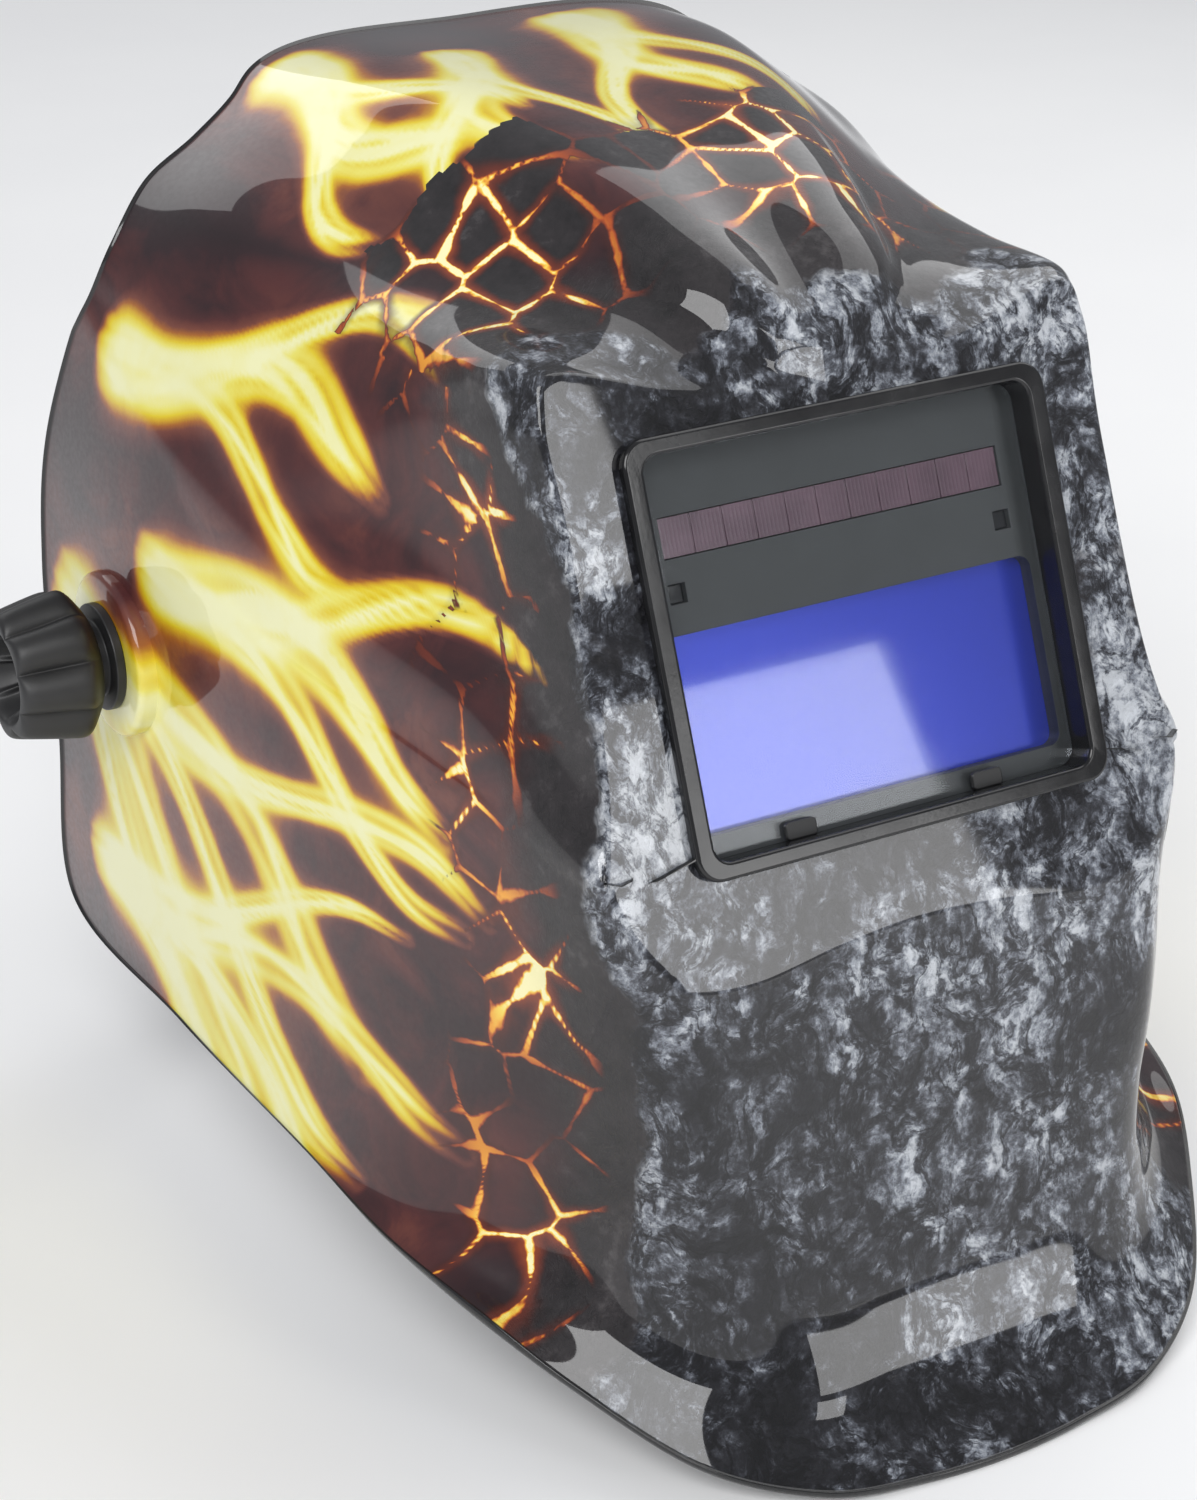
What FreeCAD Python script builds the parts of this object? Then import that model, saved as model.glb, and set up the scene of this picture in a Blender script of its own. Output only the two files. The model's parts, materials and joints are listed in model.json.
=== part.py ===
import FreeCAD, Part
import math
import os

# Auto-darkening welding helmet: a moulded shell that tilts on a ratchet headgear.
# Millimetres. +Z up, the face looks along -Y, +X is the wearer's left.
# The origin is the bottom centre of the whole object as it stands on its chin and nape.

os.makedirs("parts", exist_ok=True)
Vec = FreeCAD.Vector

# ---- driving dimensions -------------------------------------------------------------
WALL = 2.3                     # shell wall
WINDOW_Y = -99.26              # centre of the viewing window, in the part's frame
WINDOW_Z = 165.52
LENS_TILT = 21.8               # the lens leans back by this much as the helmet stands
PIVOT = (0, 164.0, -28.0)      # middle of the tilt axis, from the window centre
BAND_TILT = 38.0               # the headband falls towards the nape by this much

WINDOW_W, WINDOW_H = 97.0, 44.0
FRAME_H0 = 17.2                # the lens frame's centre, up the lens from the window centre
PLATE_OUT = 5.6                # the shell's front plate, in front of the cartridge face
FRAME_OUT = 8.6
CART_W, CART_H, CART_T = 110.0, 90.0, 12.0
FRONT_T = 4.0                  # cartridge front housing
GAP = 0.3                      # clearance between moving neighbours
LCD_W, LCD_H, LCD_T = 101.0, 48.0, 3.0
SOLAR_HALF_W, SOLAR_LOW, SOLAR_HIGH, SOLAR_CELLS = 44.5, 38.8, 47.6, 11
SENSOR_X, SENSOR_H, SENSOR_HALF = 43.0, 31.0, 2.0
BOARD_HALF_W, BOARD_LOW, BOARD_HIGH, BOARD_T = 50.0, 27.0, 60.0, 1.6

FRAME_H = 96.5                 # lens frame's outer height
TUBE_W, TUBE_H = 104.6, 92.4   # the part of the lens frame that lines the opening
BORE_W, BORE_H = 100.6, 88.4

KNOB_R, KNOB_LEN = 19.5, 22.0
WASHER_R = 16.0
INNER_WALL = 108.6             # flat inner face of the pivot boss
BOSS_R = 21.0
SHELL_SIDE = 115.2             # outer face of the pivot boss
BOLT_R = 3.0
BAND_T, BAND_H = 1.8, 26.0
BAND_B, BAND_A = 80.0, 100.0   # half width, front half length
BAND_S0 = 8.0                  # where the front half ellipse ends, behind the pivot
NAPE_S, NAPE_HALF, SIDE_END = 108.0, 42.0, 50.0
NAPE_N = -46.0                 # the nape ratchet sits this far below the band's plane
HOUSE_HALF_W, HOUSE_HALF_H = 42.0, 33.2
HOUSE_S0, HOUSE_S1 = 105.5, 122.0


def tilt(deg):
    return math.sin(math.radians(deg)), math.cos(math.radians(deg))


LENS_S, LENS_C = tilt(LENS_TILT)
BAND_SIN, BAND_COS = tilt(BAND_TILT)
BASE = Vec(0, WINDOW_Y, WINDOW_Z)
LENS_PLACE = FreeCAD.Placement(BASE, FreeCAD.Rotation(
    Vec(1, 0, 0), Vec(0, LENS_S, LENS_C), Vec(0, -LENS_C, LENS_S), "XYZ"))
BAND_PLACE = FreeCAD.Placement(BASE + Vec(*PIVOT), FreeCAD.Rotation(
    Vec(1, 0, 0), Vec(0, BAND_COS, -BAND_SIN), Vec(0, BAND_SIN, BAND_COS), "XYZ"))


# ---- small helpers ------------------------------------------------------------------
def box(x0, x1, y0, y1, z0, z1):
    return Part.makeBox(x1 - x0, y1 - y0, z1 - z0, Vec(x0, y0, z0))


def cyl(radius, start, length, axis):
    return Part.makeCylinder(radius, length, Vec(*start), Vec(*axis))


def rounded(w, h, r, z0, z1, cx=0, cy=0):
    """A plate w by h with corner radius r, from z0 to z1."""
    body = box(cx - w / 2, cx + w / 2, cy - h / 2, cy + h / 2, z0, z1)
    upright = [e for e in body.Edges if abs(e.Vertexes[0].Z - e.Vertexes[-1].Z) > 0.5 * (z1 - z0)]
    return body.makeFillet(r, upright)


def group(shapes):
    return Part.makeCompound(shapes)


def mirrored(shape):
    return shape.mirror(Vec(0, 0, 0), Vec(1, 0, 0))


def save(name, shape, place=None):
    shape = shape.copy()
    if place is not None:
        shape.Placement = place.multiply(shape.Placement)
    for solid in shape.Solids:
        if not solid.isValid() or solid.Volume <= 0:
            print("BAD SOLID", name)
    shape.exportStep("parts/" + name + ".step")
    b = shape.optimalBoundingBox(False, False)
    print("%-26s %9.1f mm3  %d  y %.1f..%.1f z %.1f..%.1f" % (
        name, shape.Volume, len(shape.Solids), b.YMin, b.YMax, b.ZMin, b.ZMax))


# ---- the shell ----------------------------------------------------------------------
# The shell is a skin of spokes that start at the lens opening and run out to the rim.
# Each spoke is seven points, from the window centre: two on the flat front plate, one
# just past its crease, three over the crown, cheek, side or chin, and one on the rim.
def on_plate(x, h):
    return (x, -PLATE_OUT * LENS_C + LENS_S * h, PLATE_OUT * LENS_S + LENS_C * h)


SPOKES = [
    [on_plate(0, 64), on_plate(0, 78.6), (0, 30, 82), (0, 58, 96), (0, 100, 108.5),
     (0, 150, 112), (0, 195, 110)],
    [on_plate(12, 64), on_plate(15, 75), (20, 31, 84), (29, 56, 94.5), (45, 108, 106.5),
     (55, 150, 109), (60, 184, 107)],
    [on_plate(20, 64), on_plate(23, 71.5), (27, 30, 79), (37, 56, 88.5), (54, 108, 100),
     (63, 150, 103.5), (67, 180, 102)],
    [on_plate(36, 64), on_plate(38, 74), (43, 31, 77.5), (52, 60, 83), (65, 108, 91),
     (74, 150, 95.5), (78, 177, 95)],
    [on_plate(48, 62.5), on_plate(65, 82), (70, 33, 79), (74, 62, 77), (82, 108, 76),
     (89, 147, 84), (92, 176, 86)],
    [on_plate(52.5, 57), on_plate(71, 73), (74.5, 31, 68), (81, 62, 61), (94, 104, 54),
     (100, 147, 68), (103, 172, 73.5)],
    [on_plate(53, 35), on_plate(70.5, 43), (74, 19, 40), (83, 52, 30), (101, 103, 29),
     (105, 147, 50), (108, 176, 60)],
    [on_plate(53, 5), on_plate(72.5, -6), (76, -1, -8), (85.5, 28, 2), (103, 100, 14),
     (108.5, 145, 38), (110, 180, 53)],
    [on_plate(53, -14), on_plate(75, -22), (77.5, -11, -18), (86, 26, -9), (103.5, 104, 6),
     (109, 145, 34), (110.5, 183, 49)],
    [on_plate(52.5, -22), on_plate(75.5, -27), (78, -12, -26), (87, 26, -15), (104, 104, -1),
     (111, 150, 16), (113, 194, 26)],
    [on_plate(52, -24), on_plate(75.5, -30), (78, -13, -33), (88.5, 28, -32), (103, 90, -30),
     (111, 150, -22), (114, 205, -18)],
    [on_plate(51.5, -26), on_plate(75, -32), (77.5, -13, -40), (89.5, 28, -48), (102.5, 85, -55),
     (110, 145, -62), (113.3, 204, -65)],
    [on_plate(50.5, -27.5), on_plate(74.5, -34), (77, -13, -47), (90, 26, -64), (103, 80, -83),
     (109.5, 140, -98), (111, 209, -116)],
    [on_plate(49, -29), on_plate(74, -36.5), (76.5, -13, -54), (89.5, 20, -76), (101, 60, -97),
     (107.5, 100, -111), (110.3, 140, -121.5)],
    [on_plate(47, -29.5), on_plate(73, -39), (75.5, -12, -60), (87, 12, -84), (96, 32, -103),
     (104, 48, -118), (109, 72, -123)],
    [on_plate(44, -30), on_plate(71.5, -42), (74.5, -13, -66), (80.5, 1, -92), (86.5, 12, -110),
     (96, 22, -122), (106, 32, -127.5)],
    [on_plate(40, -30), on_plate(69.5, -45), (72, -18, -70), (73.5, -10, -98), (79.5, -2, -118),
     (90, 4, -129), (99, 3, -132)],
    [on_plate(36, -30), on_plate(66, -48.5), (67, -25, -72), (67, -22, -103), (71, -20, -123),
     (78, -18, -134), (87, -20.5, -142.5)],
    [on_plate(30, -30), on_plate(60.5, -52.5), (59.5, -30, -75), (58.5, -31, -106),
     (59, -33, -128), (63, -36, -142), (69, -45, -155)],
    [on_plate(22, -30), on_plate(44, -54.5), (44, -31, -76), (42, -34.5, -108),
     (42, -40, -132), (43, -48, -149), (46, -59.5, -161.5)],
    [on_plate(12, -30), on_plate(20, -51.5), (21, -30, -74), (20, -34.5, -107),
     (20, -40.5, -133), (20.5, -50.5, -151.5), (22, -64.5, -163.3)],
    [on_plate(0, -30), on_plate(0, -50), (0, -30, -73), (0, -34.5, -107), (0, -40.5, -133),
     (0, -51, -152), (0, -66, -163.7)],
]
ROWS_PER_GAP, COLS_PER_GAP = 4, 2


def spaced(lines):
    """Knot values along a set of polylines: the mean distance between their points."""
    knots = [0.0]
    for i in range(len(lines[0]) - 1):
        steps = [(line[i + 1] - line[i]).Length for line in lines]
        knots.append(knots[-1] + sum(steps) / len(steps))
    return knots


def curve_points(points, knots, parts, closed):
    """Points along a smooth line through the given ones, parts of them to each gap."""
    n = len(points)
    step = [knots[i + 1] - knots[i] for i in range(n - 1)]
    slope = [(points[i + 1] - points[i]) * (1 / step[i]) for i in range(n - 1)]
    tangent = []
    for i in range(n):
        if not closed and i == 0:
            tangent.append(slope[0])
        elif not closed and i == n - 1:
            tangent.append(slope[-1])
        else:
            before, after = (i - 1) % (n - 1), i % (n - 1)
            weight = step[before] + step[after]
            tangent.append(slope[before] * (step[after] / weight)
                           + slope[after] * (step[before] / weight))
    result = []
    for i in range(n - 1):
        for k in range(parts):
            u = k / parts
            h01 = u * u * (3 - 2 * u)
            result.append(points[i] * (1 - h01) + points[i + 1] * h01
                          + tangent[i] * (step[i] * u * (1 - u) ** 2)
                          - tangent[i + 1] * (step[i] * u * u * (1 - u)))
    result.append(points[-1])
    return result


def shell_grid():
    """Rings of points, from the lens opening to the rim; each ring closes on itself."""
    half = [[Vec(*p) for p in spoke] for spoke in SPOKES]
    other = [[Vec(-p.x, p.y, p.z) for p in spoke] for spoke in half[-2:0:-1]]
    spokes = half + other + half[:1]
    row_knots = spaced(spokes)
    col_knots = spaced(list(zip(*spokes))[3:])
    fine = [curve_points(s, row_knots, ROWS_PER_GAP, False) for s in spokes]
    return [curve_points(list(ring), col_knots, COLS_PER_GAP, True) for ring in zip(*fine)]


def inward(grid):
    """The same grid moved in by the wall, along the skin's own normals."""
    rows, cols = len(grid), len(grid[0])
    result = []
    for j in range(rows):
        ring = []
        for i in range(cols):
            left, right = grid[j][(i - 1) % (cols - 1)], grid[j][(i + 1) % (cols - 1)]
            inner, outer = grid[max(j - 1, 0)][i], grid[min(j + 1, rows - 1)][i]
            normal = (outer - inner).cross(right - left).normalize()
            ring.append(grid[j][i] + normal * WALL)
        result.append(ring)
    return result


def skin(grid):
    """A smooth surface that the grid's points pull into shape; it closes round the rings."""
    degree = 3
    poles = [ring[:-1] for ring in grid]
    rows, cols = len(poles), len(poles[0])
    row_knots = list(range(rows - degree + 1))
    row_mults = [degree + 1] + [1] * (len(row_knots) - 2) + [degree + 1]
    surface = Part.BSplineSurface()
    surface.buildFromPolesMultsKnots(poles, row_mults, [1] * (cols + 1), row_knots,
                                     list(range(cols + 1)), False, True, degree, degree)
    return surface


def shell_solid():
    outer = shell_grid()
    inner = inward(outer)
    outer_skin, inner_skin = skin(outer), skin(inner)
    faces = [outer_skin.toShape(), inner_skin.toShape()]
    for row in (0, -1):
        edges = []
        for surface in (outer_skin, inner_skin):
            u0, u1, v0, v1 = surface.bounds()
            edges.append(surface.uIso(u0 if row == 0 else u1).toShape())
        faces.append(Part.makeRuledSurface(edges[0], edges[1]))
    sewn = Part.makeShell(faces)
    sewn.sewShape()
    solid = Part.makeSolid(sewn)
    if solid.Volume < 0:
        solid.reverse()
    return solid


def shell():
    body = shell_solid()
    py, pz = PIVOT[1], PIVOT[2]
    for side in (-1, 1):
        boss = cyl(BOSS_R, (side * INNER_WALL, py, pz), SHELL_SIDE - INNER_WALL, (side, 0, 0))
        body = body.fuse(boss)
        body = body.cut(cyl(BOLT_R + 0.05, (side * 100, py, pz), 30, (side, 0, 0)))
        body = body.cut(cyl(WASHER_R + 0.2, (side * 98, py, pz), INNER_WALL - 98, (side, 0, 0)))
    seat = rounded(CART_W + 0.1, FRAME_H + 0.1, 6, PLATE_OUT, FRAME_OUT + 2, 0, FRAME_H0)
    seat = seat.fuse(rounded(TUBE_W + 0.1, TUBE_H + 0.1, 5, -4, PLATE_OUT, 0, FRAME_H0))
    lens_local = FreeCAD.Placement(Vec(0, 0, 0), LENS_PLACE.Rotation)
    seat.Placement = lens_local.multiply(seat.Placement)
    return body.cut(seat)


# ---- the lens frame and the auto-darkening cartridge --------------------------------
# Local axes here: x, then y up the lens from the window centre, then z out of the lens.
def lens_frame():
    """The gloss frame that lines the lens opening."""
    rim = rounded(CART_W, FRAME_H, 6, PLATE_OUT, FRAME_OUT, 0, FRAME_H0)
    rim = rim.fuse(rounded(TUBE_W, TUBE_H, 5, 0.2, PLATE_OUT, 0, FRAME_H0))
    rim = rim.cut(rounded(BORE_W, BORE_H, 4, -1, FRAME_OUT + 1, 0, FRAME_H0))
    return rim.removeSplitter()


def cover_lens():
    return rounded(BORE_W - 0.4, BORE_H - 0.4, 4, 0.6, 1.6, 0, FRAME_H0)


def cover_clips():
    """Two small clips on the bottom ledge that hold the cover lens."""
    low = FRAME_H0 - BORE_H / 2
    return group([rounded(8, 4, 1, 1.6, 3.2, x, low + 2.0) for x in (-25, 25)])


def front_housing():
    body = rounded(CART_W, CART_H, 5, -FRONT_T, 0, 0, FRAME_H0)
    body = body.cut(rounded(WINDOW_W, WINDOW_H, 3, -FRONT_T - 1, 1))
    body = body.cut(box(-SOLAR_HALF_W - 0.2, SOLAR_HALF_W + 0.2, SOLAR_LOW - 0.2,
                        SOLAR_HIGH + 0.2, -FRONT_T - 1, 1))
    pocket = SENSOR_HALF + 0.2
    for x in (-SENSOR_X, SENSOR_X):
        body = body.cut(box(x - pocket, x + pocket, SENSOR_H - pocket, SENSOR_H + pocket,
                            -FRONT_T - 1, 1))
    return body


def solar_cell():
    cell = box(-SOLAR_HALF_W, SOLAR_HALF_W, SOLAR_LOW, SOLAR_HIGH, -FRONT_T, -0.6)
    for k in range(1, SOLAR_CELLS):
        x = SOLAR_HALF_W * (2 * k / SOLAR_CELLS - 1)
        cell = cell.cut(box(x - 0.15, x + 0.15, SOLAR_LOW - 1, SOLAR_HIGH + 1, -0.9, 0))
    return cell


def arc_sensors():
    return group([box(x - SENSOR_HALF, x + SENSOR_HALF, SENSOR_H - SENSOR_HALF,
                      SENSOR_H + SENSOR_HALF, -FRONT_T, -1.2) for x in (-SENSOR_X, SENSOR_X)])


def lcd_filter():
    return rounded(LCD_W, LCD_H, 2, -FRONT_T - LCD_T, -FRONT_T)


def circuit_board():
    return box(-BOARD_HALF_W, BOARD_HALF_W, BOARD_LOW, BOARD_HIGH, -FRONT_T - BOARD_T, -FRONT_T)


KNOBS = {"shade": -34.0, "sensitivity": -2.0, "delay": 26.0}
CONTROL_H = 40.0
BUTTON_X = 12.5


def rear_housing():
    body = rounded(CART_W, CART_H, 5, -CART_T, -FRONT_T, 0, FRAME_H0)
    body = body.cut(rounded(LCD_W, LCD_H, 2, -FRONT_T - LCD_T, -FRONT_T))
    body = body.cut(rounded(WINDOW_W, WINDOW_H, 3, -CART_T - 1, 0))
    body = body.cut(box(-BOARD_HALF_W - 0.2, BOARD_HALF_W + 0.2, BOARD_LOW - 0.2,
                        BOARD_HIGH + 0.2, -FRONT_T - 4.2, -FRONT_T))
    for x in KNOBS.values():
        body = body.cut(cyl(3.05, (x, CONTROL_H, -CART_T - 1), 6, (0, 0, 1)))
    body = body.cut(cyl(2.55, (BUTTON_X, CONTROL_H, -CART_T - 1), 6, (0, 0, 1)))
    return body.cut(box(32.7, 56, 35, 57, -CART_T - 1, -FRONT_T - 4.2 + 1))


def control_knob(x):
    """A small dial behind the cartridge, on its own short shaft."""
    dial = cyl(8, (x, CONTROL_H, -CART_T - 4.3), 4.1, (0, 0, 1))
    for k in range(10):
        s, c = tilt(36 * k)
        dial = dial.cut(cyl(1.1, (x + 8.4 * c, CONTROL_H + 8.4 * s, -CART_T - 5), 6, (0, 0, 1)))
    dial = dial.cut(box(x - 0.6, x + 0.6, CONTROL_H, CONTROL_H + 7, -CART_T - 4.4, -CART_T - 3.6))
    return dial.fuse(cyl(3, (x, CONTROL_H, -CART_T - 0.3), 5, (0, 0, 1)))


def test_button():
    return cyl(2.5, (BUTTON_X, CONTROL_H, -CART_T - 2.6), 5.6, (0, 0, 1))


def battery_tray():
    """A thin drawer that slides out of the cartridge's side with its coin cell."""
    tray = box(33, 54.8, 35.3, 56.7, -CART_T + 0.1, -FRONT_T - 4.0 + 0.7)
    tray = tray.cut(cyl(10.15, (44, 46, -CART_T + 0.8), 9, (0, 0, 1)))
    return tray


def coin_cell():
    return cyl(10.1, (44, 46, -CART_T + 0.8), 2.6, (0, 0, 1))


def inside_lens():
    return rounded(103, 50, 2, -CART_T - 1.2, -CART_T, 0, 0)


HOLDER_BACK = -CART_T - 2.0
SCREW_X, SCREW_LOW, SCREW_HIGH = 58.6, -36.0, 45.0     # clear of the battery tray's travel


def holder():
    """The bracket behind the shell that the cartridge drops into."""
    body = rounded(124, 104, 8, HOLDER_BACK, 2.9, 0, FRAME_H0)
    body = body.cut(rounded(CART_W + 0.6, CART_H + 0.6, 5, HOLDER_BACK - 1, 0, 0, FRAME_H0))
    body = body.cut(rounded(106, 93.6, 5, -1, 4, 0, FRAME_H0))
    body = body.cut(box(50, 70, 34, 58, HOLDER_BACK - 1, -FRONT_T))
    for x, h in holder_screw_places():
        body = body.cut(cyl(1.6, (x, h, HOLDER_BACK - 1), 20, (0, 0, 1)))
    for side in (-1, 1):
        body = body.cut(cyl(LATCH_R + 0.05, (side * 50, LATCH_H, LATCH_Z), 20, (side, 0, 0)))
    return body


def holder_screw_places():
    return [(x, FRAME_H0 + h) for x in (-SCREW_X, SCREW_X) for h in (SCREW_LOW, SCREW_HIGH)]


def holder_screws():
    """Four pan-head screws that hold the bracket to the shell."""
    screws = []
    for x, h in holder_screw_places():
        head = cyl(2.9, (x, h, HOLDER_BACK - 1.8), 1.8, (0, 0, 1))
        shank = cyl(1.6, (x, h, HOLDER_BACK), 2.9 - HOLDER_BACK, (0, 0, 1))
        screws.append(head.fuse(shank))
    return group(screws)


LATCH_R, LATCH_H, LATCH_Z = 1.2, -31.0, -10.0


def latch():
    """A wire bail hinged low in the bracket; it lies across the cartridge's back."""
    z = HOLDER_BACK - 1.8 - 0.4 - LATCH_R
    side_x = 63.5
    top = 58.0
    corners = [Vec(-57, LATCH_H, LATCH_Z), Vec(-side_x, LATCH_H, LATCH_Z),
               Vec(-side_x, LATCH_H + 6, z), Vec(-side_x, top, z),
               Vec(side_x, top, z), Vec(side_x, LATCH_H + 6, z),
               Vec(side_x, LATCH_H, LATCH_Z), Vec(57, LATCH_H, LATCH_Z)]
    body = None
    for a, b in zip(corners[:-1], corners[1:]):
        rod = Part.makeCylinder(LATCH_R, (b - a).Length, a, b - a)
        rod = rod.fuse(Part.makeSphere(LATCH_R, b)) if b is not corners[-1] else rod
        body = rod if body is None else body.fuse(rod)
    return body


# ---- the headgear -------------------------------------------------------------------
# Local axes here: x, then y back along the band, then z up from the band's plane, all
# from the tilt axis.
BOW_STEPS, CORNER_STEPS = 24, 8


def band_outline(grow):
    """The band's path seen from above, grown outwards by grow."""
    a, b = BAND_A + grow, BAND_B + grow
    points = []
    for k in range(BOW_STEPS + 1):
        s, c = tilt(180.0 * k / BOW_STEPS)
        points.append(Vec(b * c, BAND_S0 - a * s, 0))
    bow = Part.BSplineCurve()
    bow.interpolate(points, InitialTangent=Vec(0, -1, 0), FinalTangent=Vec(0, 1, 0))
    nape = NAPE_S + grow
    corner = []
    for k in range(CORNER_STEPS + 1):
        s, c = tilt(90.0 * k / CORNER_STEPS)
        corner.append(Vec(-NAPE_HALF - (b - NAPE_HALF) * c, SIDE_END + (nape - SIDE_END) * s, 0))
    left = Part.BSplineCurve()
    left.interpolate(corner, InitialTangent=Vec(0, 1, 0), FinalTangent=Vec(1, 0, 0))
    right = Part.BSplineCurve()
    right.interpolate([Vec(-p.x, p.y, 0) for p in reversed(corner)],
                      InitialTangent=Vec(1, 0, 0), FinalTangent=Vec(0, -1, 0))
    edges = [bow.toShape(),
             Part.LineSegment(Vec(-b, BAND_S0, 0), Vec(-b, SIDE_END, 0)).toShape(),
             left.toShape(),
             Part.LineSegment(Vec(-NAPE_HALF, nape, 0), Vec(NAPE_HALF, nape, 0)).toShape(),
             right.toShape(),
             Part.LineSegment(Vec(b, SIDE_END, 0), Vec(b, BAND_S0, 0)).toShape()]
    return Part.Face(Part.Wire(edges))


def band_ring(inner, outer):
    """A tall ring that follows the head, between two growths of the outline."""
    ring = band_outline(outer).cut(band_outline(inner))
    ring.translate(Vec(0, 0, -90))
    return ring.extrude(Vec(0, 0, 120))


def side_view(points):
    """A slab across the head whose outline, in s and n, is given."""
    wire = Part.makePolygon([Vec(-120, s, n) for s, n in points + points[:1]])
    return Part.Face(wire).extrude(Vec(240, 0, 0))


def band_stripe(height, drop_start, drop_end):
    """The side outline of a band that runs level, then falls to the nape."""
    top, low = height / 2, -height / 2
    return side_view([(-130, top), (drop_start, top), (drop_end, NAPE_N + top), (140, NAPE_N + top),
                      (140, NAPE_N + low), (drop_end, NAPE_N + low), (drop_start, low),
                      (-130, low)])


DROP_START, DROP_END = 26.0, 98.0
STRAPS = {"front": -36.0, "rear": 44.0}
POSTS = (-20.0, 20.0)
STRAP_W, STRAP_T, STRAP_TOP = 18.0, 1.6, 92.0
STRAP_LAP = 26.0               # each half of the rear strap passes the middle by this much
FIT = 0.02                     # space left between pieces that lie on one another
PLATE_X0, PLATE_X1, PLATE_L, PLATE_H = 86.0, 89.0, 62.0, 26.0


def band_half_width(s):
    if s > BAND_S0:
        return BAND_B
    return BAND_B * math.sqrt(1 - ((s - BAND_S0) / BAND_A) ** 2)


def headband():
    ring = band_ring(-BAND_T, 0).common(band_stripe(BAND_H, DROP_START, DROP_END))
    ring = ring.common(box(-120, 120, -130, SIDE_END + 6, -90, 40))
    for side in (-1, 1):
        for s in POSTS:
            post = cyl(3, (side * (BAND_B - 6), s, 0), PLATE_X0 - BAND_B + 6 - GAP, (side, 0, 0))
            post = post.cut(band_ring(-30, -0.5))
            ring = ring.fuse(post)
    return ring


def band_corner(side):
    ring = band_ring(-BAND_T, 0).common(band_stripe(28, DROP_START, DROP_END))
    x0, x1 = sorted((side * (NAPE_HALF + 1), side * 120))
    return ring.common(box(x0, x1, SIDE_END + 6, 130, -90, 40))


def sweatband():
    ring = band_ring(-BAND_T - 4.3, -BAND_T - 0.05).common(band_stripe(BAND_H + 4, 60, 120))
    return ring.common(box(-66, 66, -130, -20, -60, 40))


def crown_arch(s, x_from, x_to, lift):
    """Part of an arch over the head, flat in section, from x_from to x_to."""
    half = band_half_width(s if s < BAND_S0 else BAND_S0) + lift
    low = 2.0
    points_out, points_in = [], []
    for k in range(33):
        c, d = tilt(180.0 * k / 32)
        points_out.append(Vec((half + STRAP_T) * d, 0, low + (STRAP_TOP + lift + STRAP_T - low) * c))
        points_in.append(Vec(half * d, 0, low + (STRAP_TOP + lift - low) * c))
    arcs = []
    for points in (points_out, points_in[::-1]):
        curve = Part.BSplineCurve()
        curve.interpolate(points)
        arcs.append(curve.toShape())
    ends = [Part.makeLine(points_out[-1], points_in[-1]), Part.makeLine(points_in[0], points_out[0])]
    face = Part.Face(Part.Wire([arcs[0], ends[0], arcs[1], ends[1]]))
    face.translate(Vec(0, s - STRAP_W / 2, 0))
    arch = face.extrude(Vec(0, STRAP_W, 0))
    for side in (-1, 1):
        x0, x1 = sorted((side * half, side * (half + STRAP_T)))
        arch = arch.fuse(box(x0, x1, s - STRAP_W / 2, s + STRAP_W / 2, -8, low))
    band = band_ring(-BAND_T - 0.02, 0.02).common(box(-120, 120, -130, 130, -40, BAND_H / 2 + 0.02))
    return arch.common(box(x_from, x_to, s - 20, s + 20, -20, 140)).cut(band)


def crown_strap_front():
    return crown_arch(STRAPS["front"], -120, 120, FIT)


def crown_strap_rear(side):
    """One half of the adjustable strap; the halves overlap at the top of the head."""
    lift = FIT if side < 0 else STRAP_T + 2 * FIT
    x_from, x_to = (-120, STRAP_LAP) if side < 0 else (-STRAP_LAP, 120)
    strap = crown_arch(STRAPS["rear"], x_from, x_to, lift)
    for x in range(-20, 21, 10):
        strap = strap.cut(cyl(2.2, (x, STRAPS["rear"], 60), 60, (0, 0, 1)))
    return strap


def crown_pins():
    """Two pegs through the overlapped halves of the rear strap."""
    pins = []
    for x in (-10, 10):
        drop = (STRAP_TOP - 2) * (1 - math.sqrt(1 - (x / BAND_B) ** 2))
        z = STRAP_TOP + 0.02 - drop
        pin = cyl(2.1, (x, STRAPS["rear"], z - 1.6), 5.6, (0, 0, 1))
        pin = pin.fuse(cyl(4.2, (x, STRAPS["rear"], z + 3.75), 1.4, (0, 0, 1)))
        pins.append(pin)
    return group(pins)


def strap_rivets():
    """A rivet at each foot of the crown straps."""
    rivets = []
    for s in STRAPS.values():
        x = band_half_width(min(s, BAND_S0)) + 0.02 + STRAP_T
        if s > 0:
            x_right = x + STRAP_T + 0.02
        else:
            x_right = x
        for side, face in ((-1, x), (1, x_right)):
            rivets.append(cyl(3.2, (side * face, s, -3), 1.4, (side, 0, 0)))
    return group(rivets)


def side_plate(side):
    """The slotted plate that carries the tilt axis and slides fore and aft."""
    plate = box(PLATE_X0, PLATE_X1, -PLATE_L / 2, PLATE_L / 2, -PLATE_H / 2, PLATE_H / 2)
    upright = [e for e in plate.Edges if abs(e.Vertexes[0].X - e.Vertexes[-1].X) > 1]
    plate = plate.makeFillet(9, upright)
    plate = plate.cut(box(PLATE_X0 - 1, PLATE_X1 + 1, -BOLT_R, BOLT_R, -BOLT_R, BOLT_R))
    for k in range(5):
        plate = plate.cut(cyl(1.4, (PLATE_X0 - 1, -8 + 4 * k, -9), 6, (1, 0, 0)))
    return plate if side > 0 else mirrored(plate)


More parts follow.
